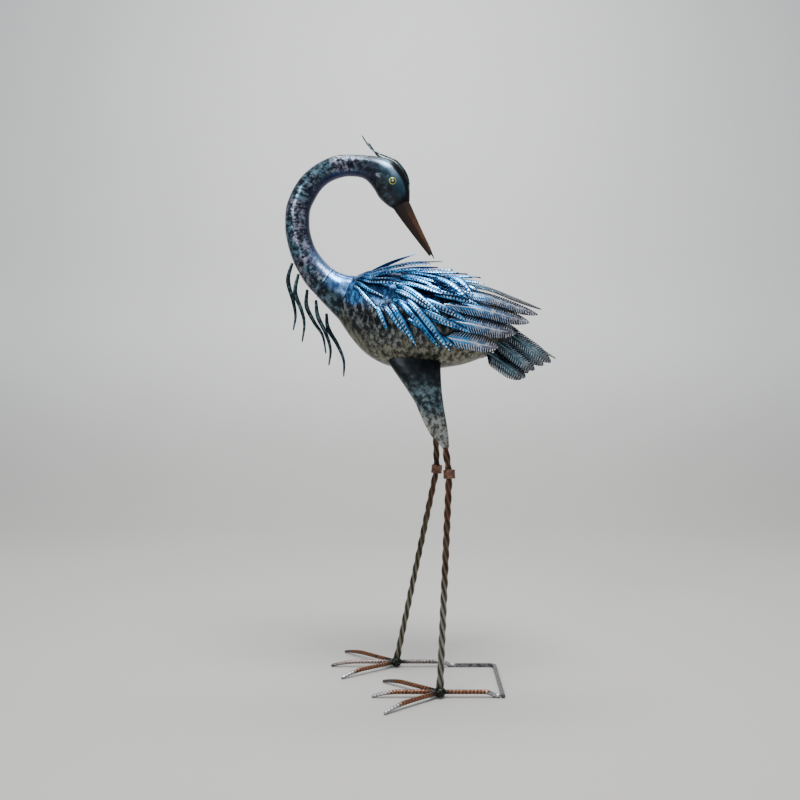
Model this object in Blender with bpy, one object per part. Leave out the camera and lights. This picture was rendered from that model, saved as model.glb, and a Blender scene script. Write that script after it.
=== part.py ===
"""Metal garden bird on twisted bar legs, turning its head back over its folded wings.

X runs from breast to tail, the near side faces -Y and +Z is up. Sizes are in metres.
The form's rows and points are in parts of its height, read in a frame whose floor is at zero.
"""
import math
from collections import namedtuple

import bmesh
import bpy
from mathutils import Matrix, Vector

# Height from the floor to the crest, and one part of it
HEIGHT = 0.945
HEIGHT_PARTS = 945
PART = HEIGHT / HEIGHT_PARTS

# Fits
WELD_GAP = 0.0003
MERGE = 0.00001
SHARP_ANGLE = math.radians(40)

# Stand
BAR_WIDTH = 0.0095
TWIST_PITCH = 0.092
TWIST_RINGS = 11
ANKLE_HEIGHT = 0.0095
ANKLE_RADIUS = 0.0100
FLOOR_GAP = 0.0010
ROD_SIDES = 6
# Share of a rod's radius from its middle down to its flat underside
ROD_FLAT = math.cos(math.pi / ROD_SIDES)
TOE_RADIUS = 0.0040
TOE_ROOT_RADIUS = 0.0026
CLAW_RADIUS = 0.0024
TOE_SHARES = (0.075, 0.28, 0.52, 0.72, 0.84, 0.93, 1.0)
CLAW_START = 0.62
CLAW_BEND = 1.6
HEEL_SHARES = (0.05, 0.25, 0.5, 0.75, 0.84, 0.92, 1.0)
HEEL_DIP_START = 0.75
HEEL_DIP_LENGTH = 0.2
REAR_BAR_WIDTH = 0.0066
REAR_CORNER_RADIUS = 0.010
COLLAR_LENGTH = 0.015
COLLAR_WALL = 0.0022
COLLAR_PLAY = 0.0009

# Sheet metal feathers
SHEET = 0.0010
ROOT_LIFT = 0.0009
STRIP_WIDTH = 0.0130
STRIP_RIDGE = 0.0010
PRIMARY_WIDTH = 0.027
PRIMARY_RIDGE = 0.0009
PRIMARY_ROLL = 0.0060
TAIL_WIDTH = 0.026
TAIL_ROLL = 0.0030
BARB_NOTCH = 0.09
BREAST_PLUME_WIDTH = 0.0075
CREST_WIDTH = 0.0042

# Head
EYE_RADIUS = 0.0064
EYE_STATION = 16.3
EYE_TURN = math.radians(92)

# Rows of the hollow forms: inner or upper point x, z, outer or lower point x, z, half width in y
BODY_ROWS = (
    (-77, 703, -107, 629, 33),
    (-64, 705, -85, 597, 45),
    (-43, 706, -59, 569, 58),
    (-14, 707, -26, 550, 69),
    (21, 705, 17, 542, 75),
    (61, 698, 62, 543, 75),
    (101, 684, 108, 550, 66),
    (135, 665, 144, 563, 50),
    (165, 643, 174, 580, 30),
    (188, 617, 191, 596, 10),
)
# The wing rows lie on the body, then leave it and run on past the tail
WING_ROWS = BODY_ROWS[:6] + (
    (112, 692, 110, 546, 72),
    (150, 684, 150, 548, 66),
    (190, 668, 186, 556, 57),
    (230, 651, 224, 563, 47),
    (268, 634, 262, 572, 36),
)
NECK_ROWS = (
    (-77, 703, -107, 629, 33),
    (-95, 706, -124, 646, 29),
    (-114, 714, -143, 667, 26),
    (-131, 730, -165, 692, 24),
    (-145, 749, -182, 722, 22.5),
    (-153, 770, -193, 751, 21.5),
    (-157, 792, -199, 785, 21),
    (-156, 817, -198, 818, 20.5),
    (-149, 835, -190, 844, 20.5),
    (-136, 855, -174, 871, 20.5),
    (-119, 869, -149, 894, 19.5),
    (-98, 876, -117, 910, 19),
    (-80, 877, -87, 913, 18),
    (-64, 874, -56, 912, 18.5),
    (-53, 865, -28, 908, 20.5),
    (-44, 853, -10, 901, 22.5),
    (-36, 840, 3, 889, 22.5),
    (-25, 829, 12, 874, 20),
    (-16, 823, 16, 856, 15),
    (-12, 821, 16, 833, 9.5),
)
NECK_SEAM_STATION = 2.0
# Metres on the body for one step from row to row
STATION_LENGTH = 0.040

# Thigh rows of the near side: z, left x, right x, middle y, half thickness in y.
# The last row is the thigh's foot, and the far thigh is drawn to its own leg's top.
THIGH_ROWS = (
    (600, -18, 66, 20, 14),
    (575, -21, 69, 22, 17),
    (554, -20, 70, 26, 19),
    (539, -11, 69, 31, 19),
    (506, 12, 70, 41, 16),
    (477, 31, 73, 48.5, 13),
    (458, 40, 76, 52, 11),
    (431, 54, 80, 56, 9),
    (408, 68.5, 81.5, 59, 7.5),
)

# Legs: top and knee as x, y, z on each side, and the spot on the floor below the ankle
LEG_POINTS = {
    "near": ((75, -59, 408), (81, -64, 364), (65, -75, 0)),
    "far": ((65.5, 59, 421), (67, 64, 365), (-7, 75, 0)),
}
TOE_TIPS = {
    "near": {"front_toe": (-47, -75), "inner_toe": (-30, -5), "outer_toe": (-25, -146)},
    "far": {"front_toe": (-127, 75), "inner_toe": (-103, 9), "outer_toe": (-108, 158)},
}
REAR_CORNER_NEAR = (168, -75)
REAR_CORNER_FAR = (173, 75)
REAR_BAR_START = 102

# Bill: where the gape line ends, the two outer edges, and the half width at the root
GAPE_END = (54, 741)
UPPER_EDGE = ((16, 833), (27, 808), (40, 779), (52, 754), (60, 733))
LOWER_EDGE = ((-12, 821), (3, 800), (19, 779), (36, 757), (51, 738))
BILL_HALF_WIDTH = 0.0090
BILL_TIP_SHARE = 0.16

# Crest plumes: station, degrees round and lift in millimetres on the crown, then free to the tip
CREST_CROWN = ((17.8, 160, 1.6), (17.0, 158, 2.2), (16.0, 156, 2.6), (15.0, 156, 3.0))
CREST_FREE_POINTS = {
    "near": ((-40, -9, 914), (-53, -8, 925), (-66, -6, 945)),
    "far": ((-36, 9, 914), (-46, 9, 925), (-55, 8, 938)),
}
BREAST_PLUMES = (
    ((-187.5, 4, 727), (-195, 5, 697), (-186, 6, 660), (-182, 5, 634), (-186, 4, 610)),
    ((-175.5, -5, 706), (-181, -6, 674), (-170, -7, 643), (-165, -7, 619), (-169, -6, 588)),
    ((-161.5, 5, 681), (-163, 6, 653), (-150, 7, 625), (-135, 7, 601), (-129, 6, 569)),
    ((-145.5, -4, 661), (-142, -5, 633), (-128, -6, 603), (-120, -6, 575), (-123, -5, 548)),
    ((-128, 3, 639), (-125, 4, 613), (-109, 5, 585), (-98, 5, 557), (-98, 4, 529)),
)

# A fan of strips: first and last root and tip as station and degrees round from the ridge,
# the station where it leaves the body, its rise in metres for each station, how far each strip's
# front or lower edge is rolled up to lie over its neighbour, and its steps
Fan = namedtuple("Fan", "name strips first_root last_root first_tip last_tip rest rise roll steps")
FANS = (
    Fan("secondary_coverts", 7, (4.9, 16), (4.5, 104), (6.8, 30), (5.8, 124), 4.5, 0.0055, 0.0, 4),
    Fan("upper_coverts", 7, (4.2, 13), (3.8, 94), (6.3, 20), (5.4, 118), 3.8, 0.0060, 0.0, 4),
    Fan("scapulars", 6, (3.5, 12), (3.1, 72), (5.7, 18), (4.9, 102), 3.1, 0.0066, 0.0, 4),
    Fan("shoulder_strips", 5, (3.7, 75), (2.3, 84), (5.6, 122), (3.2, 112), 2.3, 0.0070, 0.0026, 4),
    Fan("mantle_strips", 6, (0.5, 14), (0.45, 62), (5.4, 14), (2.5, 88), 1.9, 0.0080, 0.0026, 7),
    Fan("back_plume", 1, (0.8, 0), (0.8, 0), (4.4, 0), (4.4, 0), 1.7, 0.0125, 0.0, 6),
)
STRIP_STAGGER = 0.13
STRIP_BOW = 1.3

# Primaries: root and tip as station and degrees, the step from one to the next
PRIMARY_COUNT = 5
PRIMARY_ROOT = (5.2, 35, 19.5)
PRIMARY_TIP = (9.25, 40, 21.5)
PRIMARY_TIP_STEP = 0.10
PRIMARY_TIP_CURVE = 0.095

# Tail feathers on each side: root x, y, z and tip x, y, z
TAIL_FEATHERS = (
    ((157, 15, 565), (214, 20, 526)),
    ((168, 23, 585), (228, 28, 538)),
    ((183, 22, 604), (255, 32, 551)),
)
MIDDLE_TAIL_FEATHER = ((190.6, 0, 606), (270, 0, 560))

SIDES = {"near": 1, "far": -1}


def material(name, colour, roughness, metallic):
    """Principled material of one finish."""
    made = bpy.data.materials.new(name)
    made.use_nodes = True
    shader = made.node_tree.nodes["Principled BSDF"]
    shader.inputs["Base Color"].default_value = (*colour, 1.0)
    shader.inputs["Roughness"].default_value = roughness
    shader.inputs["Metallic"].default_value = metallic
    made.diffuse_color = (*colour, 1.0)
    return made


def spline(rows, at):
    """Value of a smooth curve through equal tuples at a fractional row number."""
    last = len(rows) - 1
    at = min(max(at, 0.0), float(last))
    index = min(int(at), last - 1)
    t = at - index
    b = rows[index]
    c = rows[index + 1]
    a = rows[index - 1] if index > 0 else tuple(2 * p - q for p, q in zip(b, c))
    d = rows[index + 2] if index + 2 <= last else tuple(2 * q - p for p, q in zip(b, c))
    return tuple(
        0.5 * (2 * q + (r - p) * t + (2 * p - 5 * q + 4 * r - s) * t**2 + (3 * q - p - 3 * r + s) * t**3)
        for p, q, r, s in zip(a, b, c, d)
    )


def hollow_point(rows, station, turn, lift=0.0):
    """Point on a lofted form, turned from its upper line toward -Y and lifted off its skin."""
    top_x, top_z, low_x, low_z, half_width = (value * PART for value in spline(rows, station))
    centre = Vector(((top_x + low_x) / 2, 0.0, (top_z + low_z) / 2))
    up = Vector(((top_x - low_x) / 2, 0.0, (top_z - low_z) / 2))
    half_height = up.length
    across = (half_width + lift) * math.sin(turn)
    along = (half_height + lift) * math.cos(turn)
    return centre + up.normalized() * along - Vector((0.0, across, 0.0))


def finish(bm, name, look):
    """Object from a bmesh, shaded smooth with its sharp edges kept."""
    mesh = bpy.data.meshes.new(name)
    bm.to_mesh(mesh)
    bm.free()
    mesh.materials.append(look)
    mesh.shade_smooth()
    mesh.set_sharp_from_angle(angle=SHARP_ANGLE)
    made = bpy.data.objects.new(name, mesh)
    bpy.context.scene.collection.objects.link(made)
    return made


def skin(name, place, around, along, look):
    """Closed tube: a grid whose u runs round and whose v runs along it, its ends filled flat."""
    bm = bmesh.new()
    bmesh.ops.create_grid(bm, x_segments=around, y_segments=along, size=0.5)
    for vert in bm.verts:
        vert.co = place(vert.co.x + 0.5, vert.co.y + 0.5)
    bmesh.ops.remove_doubles(bm, verts=bm.verts, dist=MERGE)
    rims = [edge for edge in bm.edges if edge.is_boundary]
    bmesh.ops.holes_fill(bm, edges=rims, sides=0)
    bmesh.ops.recalc_face_normals(bm, faces=bm.faces)
    return finish(bm, name, look)


def sheet(name, place, outward, across, along, look, is_gap=None):
    """Bent sheet metal: a grid mapped by place(column, row), cut open at its gaps and thickened."""
    bm = bmesh.new()
    bmesh.ops.create_grid(bm, x_segments=across, y_segments=along, size=0.5)
    columns = {vert: round((vert.co.x + 0.5) * across) for vert in bm.verts}
    rows = {vert: round((vert.co.y + 0.5) * along) for vert in bm.verts}
    if is_gap:
        gaps = []
        for face in bm.faces:
            column = min(columns[vert] for vert in face.verts)
            row = min(rows[vert] for vert in face.verts)
            if is_gap(column, row):
                gaps.append(face)
        bmesh.ops.delete(bm, geom=gaps, context="FACES")
    for vert in bm.verts:
        vert.co = place(columns[vert], rows[vert])
    bmesh.ops.remove_doubles(bm, verts=bm.verts, dist=MERGE)
    bm.normal_update()
    facing = sum((face.normal * face.calc_area()).dot(outward) for face in bm.faces)
    if facing < 0:
        bmesh.ops.reverse_faces(bm, faces=bm.faces)
    made = finish(bm, name, look)
    wall = made.modifiers.new("sheet thickness", "SOLIDIFY")
    wall.thickness = SHEET
    wall.offset = 1.0
    return made


def rod(name, points, radii, sides, look, phase=0.0):
    """Bar or rod along a list of points, with one radius to each point."""
    up = Vector((0.0, 0.0, 1.0))
    frames = []
    for index, point in enumerate(points):
        ahead = points[min(index + 1, len(points) - 1)]
        behind = points[max(index - 1, 0)]
        side = (ahead - behind).cross(up).normalized()
        frames.append((point, side, side.cross(ahead - behind).normalized()))

    def place(u, v):
        number = round(v * (len(points) - 1))
        point, side, rise = frames[number]
        turn = 2 * math.pi * u + phase
        return point + (side * math.cos(turn) + rise * math.sin(turn)) * radii[number]

    return skin(name, place, sides, len(points) - 1, look)


def subtract(target, cutter):
    """Cut one piece back to the clearance around its neighbour."""
    cutter.hide_render = True
    cutter.display_type = "WIRE"
    cut = target.modifiers.new("fit to " + cutter.name, "BOOLEAN")
    cut.operation = "DIFFERENCE"
    cut.solver = "EXACT"
    cut.object = cutter
    return target


def tube_between(name, rows, first, last, around, along, look, lift=0.0, ends=(0.0, 0.0)):
    """Lofted tube from one station to another, drawn back from its seams by the end gaps."""
    start = spline(rows, first)
    step = 0.5 * (Vector((start[0], 0, start[1])) + Vector((start[2], 0, start[3])))
    follow = spline(rows, first + 1)
    next_step = 0.5 * (Vector((follow[0], 0, follow[1])) + Vector((follow[2], 0, follow[3])))
    pitch = (next_step - step).length * PART
    low = first + ends[0] / pitch
    high = last - ends[1] / pitch

    def place(u, v):
        return hollow_point(rows, low + (high - low) * v, 2 * math.pi * u, lift)

    return skin(name, place, around, along, look)


def make_body(look, cutter_look):
    """Egg of the body, and a copy with the weld gap added that other pieces are cut back to."""
    last = len(BODY_ROWS) - 1
    body = tube_between("body", BODY_ROWS, 0, last, 20, 12, look, ends=(WELD_GAP / 2, 0.0))
    room = tube_between("body_clearance", BODY_ROWS, 0, last, 20, 12, cutter_look, lift=WELD_GAP)
    return body, room


def make_neck(look, cutter_look):
    """Sleeve between the two weld seams, then the neck and head in one, with its clearance copy."""
    last = len(NECK_ROWS) - 1
    seam = NECK_SEAM_STATION
    half_gap = WELD_GAP / 2
    tube_between("neck_base", NECK_ROWS, 0, seam, 14, 3, look, ends=(half_gap, half_gap))
    tube_between("neck_and_head", NECK_ROWS, seam, last, 12, 26, look, ends=(half_gap, 0.0))
    return tube_between("head_clearance", NECK_ROWS, 14, last, 12, 9, cutter_look, lift=WELD_GAP)


def make_eyes(look, head_room):
    """Painted bead on each side of the head, cut flat where it meets the skin."""
    for side, sign in SIDES.items():
        centre = hollow_point(NECK_ROWS, EYE_STATION, sign * EYE_TURN, 0.0)
        bm = bmesh.new()
        bmesh.ops.create_uvsphere(bm, u_segments=10, v_segments=6, radius=EYE_RADIUS)
        bmesh.ops.rotate(bm, verts=bm.verts, matrix=Matrix.Rotation(math.pi / 2, 3, "X"))
        bmesh.ops.scale(bm, verts=bm.verts, vec=(1.0, 0.5, 1.0))
        bmesh.ops.translate(bm, verts=bm.verts, vec=centre)
        subtract(finish(bm, "eye_" + side, look), head_room)


def make_bill(upper_look, lower_look):
    """Two half round mandibles that meet at the gape line and taper to the tip."""
    root_low = Vector((NECK_ROWS[-1][0], 0, NECK_ROWS[-1][1])) * PART
    root_high = Vector((NECK_ROWS[-1][2], 0, NECK_ROWS[-1][3])) * PART
    gape_start = root_low.lerp(root_high, 0.5)
    gape_end = Vector((GAPE_END[0], 0, GAPE_END[1])) * PART
    root_normal = (root_high - root_low).cross(Vector((0, 1, 0))).normalized()
    if root_normal.dot(gape_end - gape_start) < 0:
        root_normal = -root_normal

    def mandible(name, edge, reach, look):
        outer = [Vector((x, 0, z)) * PART for x, z in edge]

        def place(u, v):
            seam = gape_start.lerp(gape_end, v * reach)
            x, y, z = spline([tuple(point) for point in outer], v * (len(outer) - 1))
            crown = Vector((x, y, z)) - seam
            height = crown.length
            turn = 2 * math.pi * u
            share = BILL_TIP_SHARE + (1 - BILL_TIP_SHARE) * (1 - v) ** 0.9
            bulge = max(math.sin(turn), 0.0) * height
            width = math.cos(turn) * BILL_HALF_WIDTH * share
            stand_off = crown.normalized() * (WELD_GAP / 2 + bulge)
            return seam + root_normal * WELD_GAP + stand_off - Vector((0, width, 0))

        return skin(name, place, 8, 6, look)

    mandible("upper_bill", UPPER_EDGE, 1.07, upper_look)
    mandible("lower_bill", LOWER_EDGE, 1.0, lower_look)


def plume_point(points, middle_side, width, steps):
    """Place function of a thin pointed strip that follows free points and keeps to one side vector."""
    def place(column, row):
        s = row / steps
        at = s * (len(points) - 1)
        centre = Vector(spline(points, at)) * PART
        ahead = Vector(spline(points, at + 0.05)) * PART
        behind = Vector(spline(points, at - 0.05)) * PART
        sideways = (ahead - behind).cross(middle_side).normalized()
        taper = (0.55 + 1.6 * s) if s < 0.28 else (1 - s) ** 0.6 * 1.2
        return centre + sideways * (column - 1) * width / 2 * min(taper, 1.0)

    return place


def make_crest(look):
    """Two dark plumes that lie on the crown and sweep free behind the head."""
    steps = 8
    for side, sign in SIDES.items():
        on_crown = []
        for station, turn, lift in CREST_CROWN:
            point = hollow_point(NECK_ROWS, station, sign * math.radians(turn), lift * PART)
            on_crown.append(tuple(point / PART))
        points = on_crown + list(CREST_FREE_POINTS[side])
        outward = Vector((0.25, -sign, 0.45)).normalized()
        place = plume_point(points, outward, CREST_WIDTH, steps)
        sheet("crest_plume_" + side, place, outward, 2, steps, look)


def make_breast_plumes(look):
    """Five wavy ribbons welded in a row down the front of the neck, hanging free."""
    steps = 8
    outward = Vector((0, -1, 0))
    for number, points in enumerate(BREAST_PLUMES, start=1):
        place = plume_point(points, outward, BREAST_PLUME_WIDTH, steps)
        sheet(f"breast_plume_{number}", place, outward, 2, steps, look)


def make_thighs(look, body_room):
    """Flattened sheet metal cone below each flank, its top cut to the body."""
    steps = 8
    for side, sign in SIDES.items():
        foot = LEG_POINTS[side][0]
        high, low = THIGH_ROWS[0][0], THIGH_ROWS[-1][0]
        lean = foot[0] - (THIGH_ROWS[-1][1] + THIGH_ROWS[-1][2]) / 2

        def place(u, v):
            z, left, right, middle, half = spline(THIGH_ROWS, v * (len(THIGH_ROWS) - 1))
            turn = 2 * math.pi * u
            down = (high - z) / (high - low)
            x = (left + right) / 2 + lean * down**2 + (right - left) / 2 * math.cos(turn)
            y = -sign * (middle + half * math.sin(turn))
            return Vector((x, y, high - (high - foot[2]) * down)) * PART

        subtract(skin("thigh_" + side, place, 12, steps, look), body_room)


def leg_line(side):
    """Top, knee and ankle of one leg."""
    top, knee, ankle = (Vector(point) * PART for point in LEG_POINTS[side])
    ankle.z = ANKLE_HEIGHT
    return top, knee, ankle


def make_legs(look, cutter_look):
    """Twisted square bars, bent at the knee, each joined to the weld lump of its ankle."""
    rooms = {}
    corner = BAR_WIDTH / math.sqrt(2)
    for side in SIDES:
        top, knee, ankle = leg_line(side)
        high = top.z - WELD_GAP
        steps = round((high - ankle.z) / (TWIST_PITCH / TWIST_RINGS))

        def place(u, v):
            z = high + (ankle.z - high) * v
            if z > knee.z:
                middle = knee.lerp(top, (z - knee.z) / (top.z - knee.z))
            else:
                middle = ankle.lerp(knee, (z - ankle.z) / (knee.z - ankle.z))
            turn = 2 * math.pi * (u - z / TWIST_PITCH)
            return Vector((middle.x, middle.y, z)) + Vector((math.cos(turn), math.sin(turn), 0)) * corner

        leg = skin("leg_" + side, place, 4, steps, look)
        lump = weld_lump("weld_lump_" + side, ankle, 0.0, cutter_look)
        weld = leg.modifiers.new("ankle weld", "BOOLEAN")
        weld.operation = "UNION"
        weld.solver = "EXACT"
        weld.object = lump
        rooms[side] = weld_lump("ankle_clearance_" + side, ankle, WELD_GAP, cutter_look)
    return rooms


def weld_lump(name, ankle, extra, look):
    """Rounded lump of weld round an ankle, flattened to stay off the floor."""
    bm = bmesh.new()
    bmesh.ops.create_uvsphere(bm, u_segments=12, v_segments=6, radius=ANKLE_RADIUS + extra)
    bmesh.ops.scale(bm, verts=bm.verts, vec=(1.0, 1.0, (ANKLE_HEIGHT - FLOOR_GAP + extra) / (ANKLE_RADIUS + extra)))
    bmesh.ops.translate(bm, verts=bm.verts, vec=ankle)
    lump = finish(bm, name, look)
    lump.hide_render = True
    lump.display_type = "WIRE"
    return lump


def make_collars(look):
    """Copper band round each knee, loose on the bar by a little play."""
    inner = BAR_WIDTH / math.sqrt(2) + COLLAR_PLAY
    outer = inner + COLLAR_WALL
    half = COLLAR_LENGTH / 2
    section = ((inner, -half), (outer, -half), (outer, half), (inner, half))
    for side in SIDES:
        top, knee, ankle = leg_line(side)
        axis = ((top - knee).normalized() + (knee - ankle).normalized()).normalized()
        tilt = Vector((0, 0, 1)).rotation_difference(axis).to_matrix()

        def place(u, v):
            radius, height = section[round(v * 4) % 4]
            turn = 2 * math.pi * u
            local = Vector((math.cos(turn) * radius, math.sin(turn) * radius, height))
            return knee + tilt @ local

        skin("knee_collar_" + side, place, 16, 4, look)


def make_toes(look, leg_rooms):
    """Three forged toes on each foot, level from the ankle and bent down to the floor at the claw."""
    for side in SIDES:
        ankle = leg_line(side)[2]
        for toe, (tip_x, tip_y) in TOE_TIPS[side].items():
            tip = Vector((tip_x * PART, tip_y * PART, CLAW_RADIUS * ROD_FLAT))
            points = []
            radii = []
            for share in TOE_SHARES:
                point = ankle.lerp(tip, share)
                drop = max((share - CLAW_START) / (1 - CLAW_START), 0.0) ** CLAW_BEND
                point.z = ANKLE_HEIGHT + (tip.z - ANKLE_HEIGHT) * drop
                points.append(point)
                radii.append(TOE_RADIUS + (CLAW_RADIUS - TOE_RADIUS) * drop)
            radii[0] = TOE_ROOT_RADIUS
            subtract(rod(f"{side}_{toe}", points, radii, ROD_SIDES, look), leg_rooms[side])


def make_stand(toe_look, bar_look, leg_rooms):
    """Heel rods behind the ankles and the smooth bars that join them on the floor."""
    floor_level = REAR_BAR_WIDTH / 2
    near_end = Vector((*REAR_CORNER_NEAR, 0)) * PART
    far_end = Vector((*REAR_CORNER_FAR, 0)) * PART
    near_end.z = far_end.z = floor_level
    bar_start = Vector((REAR_BAR_START * PART, far_end.y, floor_level))
    ends = {
        "near": near_end - Vector((REAR_BAR_WIDTH / 2 + WELD_GAP, 0, 0)),
        "far": bar_start - Vector((WELD_GAP, 0, 0)),
    }
    end_radius = floor_level / ROD_FLAT
    for side, end in ends.items():
        ankle = leg_line(side)[2]
        points = []
        radii = []
        for share in HEEL_SHARES:
            point = ankle.lerp(end, share)
            ease = min(max((share - HEEL_DIP_START) / HEEL_DIP_LENGTH, 0.0), 1.0)
            dip = 3 * ease**2 - 2 * ease**3
            point.z = ANKLE_HEIGHT + (end.z - ANKLE_HEIGHT) * dip
            points.append(point)
            radii.append(TOE_RADIUS + (end_radius - TOE_RADIUS) * dip)
        subtract(rod("heel_rod_" + side, points, radii, ROD_SIDES, toe_look), leg_rooms[side])

    half_diagonal = REAR_BAR_WIDTH / math.sqrt(2)
    bend = far_end - Vector((REAR_CORNER_RADIUS, REAR_CORNER_RADIUS, 0))
    path = [bar_start]
    for degrees in (90, 60, 30, 0):
        turn = math.radians(degrees)
        path.append(bend + Vector((math.cos(turn), math.sin(turn), 0)) * REAR_CORNER_RADIUS)
    path.append(near_end - Vector((0, REAR_BAR_WIDTH / 2, 0)))
    rod("rear_bar", path, [half_diagonal] * len(path), 4, bar_look, math.pi / 4)


def strip_profile(s):
    """Half width share of a strip from its root to its pointed tip."""
    if s < 0.3:
        return 0.55 + 0.45 * s / 0.3
    return 1 - ((s - 0.3) / 0.7) ** 3


def blade_profile(s, row):
    """Half width share of a broad, pointed feather, with notches where its barbs are slit."""
    swell = min(0.42 + 2.4 * s, 1.0)
    tip = (1 - max((s - 0.60) / 0.40, 0.0) ** 1.6) ** 0.8
    notch = 1 - BARB_NOTCH * (row % 2)
    return swell * tip * notch


def wing_point(station, turn, sideways, heading, lift, sign):
    """Point on the wing's wrap, moved square to a heading by a distance along its surface."""
    radius = 0.5 * (hollow_point(WING_ROWS, station, 0.0) - hollow_point(WING_ROWS, station, math.pi)).length
    ahead = Vector((heading[0] * STATION_LENGTH, heading[1] * radius)).normalized()
    station = station - ahead.y * sideways / STATION_LENGTH
    turn = turn + ahead.x * sideways / (radius + lift)
    return hollow_point(WING_ROWS, station, sign * turn, lift)


def make_fans(look):
    """Rows of narrow crimped strips, each row cut from one sheet and welded along its root."""
    for fan in FANS:
        paired = fan.strips > 1
        for side, sign in SIDES.items() if paired else [("", 1)]:
            across = 3 * fan.strips - 1

            def place(column, row, fan=fan, sign=sign):
                number, part = divmod(column, 3)
                share = number / max(fan.strips - 1, 1)
                root = [a + (b - a) * share for a, b in zip(fan.first_root, fan.last_root)]
                tip = [a + (b - a) * share for a, b in zip(fan.first_tip, fan.last_tip)]
                tip[0] += STRIP_STAGGER * (1 if number % 2 else -1)
                s = row / fan.steps
                station = root[0] + (tip[0] - root[0]) * s
                turn = math.radians(root[1] + (tip[1] - root[1]) * s**STRIP_BOW)
                slope = math.radians(tip[1] - root[1]) * STRIP_BOW * max(s, 0.05) ** (STRIP_BOW - 1)
                heading = (tip[0] - root[0], slope)
                lift = ROOT_LIFT + fan.rise * max(station - fan.rest, 0.0)
                lift += fan.roll * min(s * 5, 1.0) * part / 2
                if part == 1:
                    lift += STRIP_RIDGE * min(s * 5, 1.0)
                sideways = (part - 1) * STRIP_WIDTH / 2 * strip_profile(s)
                return wing_point(station, turn, sideways, heading, lift, sign)

            def is_gap(column, row):
                return column % 3 == 2 and row >= 1

            outward = Vector((0, -sign, 0.6))
            sheet(f"{fan.name}_{side}".rstrip("_"), place, outward, across, fan.steps, look, is_gap)


def make_primaries(look):
    """Broad flight feathers, each tucked under the one above it along its upper edge."""
    steps = 7
    for number in range(PRIMARY_COUNT):
        root = (PRIMARY_ROOT[0], PRIMARY_ROOT[1] + PRIMARY_ROOT[2] * number)
        back = PRIMARY_TIP_STEP * number + PRIMARY_TIP_CURVE * number**2
        tip = (PRIMARY_TIP[0] - back, PRIMARY_TIP[1] + PRIMARY_TIP[2] * number)
        for side, sign in SIDES.items():
            def place(column, row, root=root, tip=tip, sign=sign):
                s = row / steps
                part = column - 1
                station = root[0] + (tip[0] - root[0]) * s
                turn = math.radians(root[1] + (tip[1] - root[1]) * s)
                heading = (tip[0] - root[0], math.radians(tip[1] - root[1]))
                roll = PRIMARY_ROLL * (0.15 + 0.85 * min(s / 0.4, 1.0))
                lift = ROOT_LIFT + roll * (part + 1) / 2 + PRIMARY_RIDGE * (1 - abs(part))
                sideways = part * PRIMARY_WIDTH / 2 * blade_profile(s, row)
                return wing_point(station, turn, sideways, heading, lift, sign)

            outward = Vector((0, -sign, 0.3))
            sheet(f"primary_{number + 1}_{side}", place, outward, 2, steps, look)


def make_tail(look):
    """Three hanging tail feathers on each side and a level one in the middle."""
    steps = 6

    def blade(name, root, tip, outward, roll):
        start = Vector(root) * PART
        end = Vector(tip) * PART
        sideways = (end - start).cross(outward).normalized()
        if sideways.z > 0:
            sideways = -sideways

        def place(column, row):
            s = row / steps
            part = column - 1
            centre = start.lerp(end, s)
            lift = roll * part * min(s * 3, 1.0) + PRIMARY_RIDGE * (1 - abs(part))
            return centre + sideways * part * TAIL_WIDTH / 2 * blade_profile(s, row) + outward * lift

        sheet(name, place, outward, 2, steps, look)

    for number, (root, tip) in enumerate(TAIL_FEATHERS, start=1):
        for side, sign in SIDES.items():
            flip = Vector((1, -sign, 1))
            outward = Vector((0, -sign, 0))
            blade(f"tail_feather_{number}_{side}", Vector(root) * flip, Vector(tip) * flip, outward, TAIL_ROLL)
    root, tip = MIDDLE_TAIL_FEATHER
    blade("tail_feather_middle", root, tip, Vector((0.57, 0, 0.82)), 0.0)


def stand_on_origin():
    """Move everything so that the floor is at zero and the origin is under the middle of the object."""
    solids = [item for item in bpy.data.objects if not item.hide_render]
    corners = [vert.co for item in solids for vert in item.data.vertices]
    middle = [(min(co[axis] for co in corners) + max(co[axis] for co in corners)) / 2 for axis in (0, 1)]
    floor = min(co.z for co in corners)
    for item in bpy.data.objects:
        item.data.transform(Matrix.Translation((-middle[0], -middle[1], -floor)))


def main():
    for item in list(bpy.data.objects):
        bpy.data.objects.remove(item, do_unlink=True)
    pewter = material("pewter", (0.13, 0.17, 0.20), 0.38, 0.85)
    dark = material("dark_plume", (0.02, 0.05, 0.06), 0.45, 0.7)
    blue = material("feather_blue", (0.05, 0.24, 0.42), 0.32, 0.9)
    flight = material("feather_flight", (0.12, 0.22, 0.30), 0.32, 0.9)
    bill_brown = material("bill_copper", (0.35, 0.14, 0.06), 0.4, 0.6)
    bill_dark = material("bill_dark", (0.08, 0.05, 0.04), 0.4, 0.6)
    eye_paint = material("eye_paint", (0.55, 0.62, 0.05), 0.2, 0.0)
    bar = material("leg_bar", (0.10, 0.09, 0.08), 0.4, 0.9)
    copper = material("copper", (0.42, 0.20, 0.12), 0.4, 0.9)
    steel = material("bar_steel", (0.16, 0.16, 0.17), 0.4, 0.9)
    clearance = material("clearance", (1.0, 0.3, 0.1), 0.5, 0.0)

    body, body_room = make_body(pewter, clearance)
    head_room = make_neck(pewter, clearance)
    make_eyes(eye_paint, head_room)
    make_bill(bill_brown, bill_dark)
    make_crest(dark)
    make_breast_plumes(dark)
    make_thighs(pewter, body_room)
    leg_rooms = make_legs(bar, clearance)
    make_collars(copper)
    make_toes(copper, leg_rooms)
    make_stand(copper, steel, leg_rooms)
    make_fans(blue)
    make_primaries(flight)
    make_tail(flight)
    stand_on_origin()


main()
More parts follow.
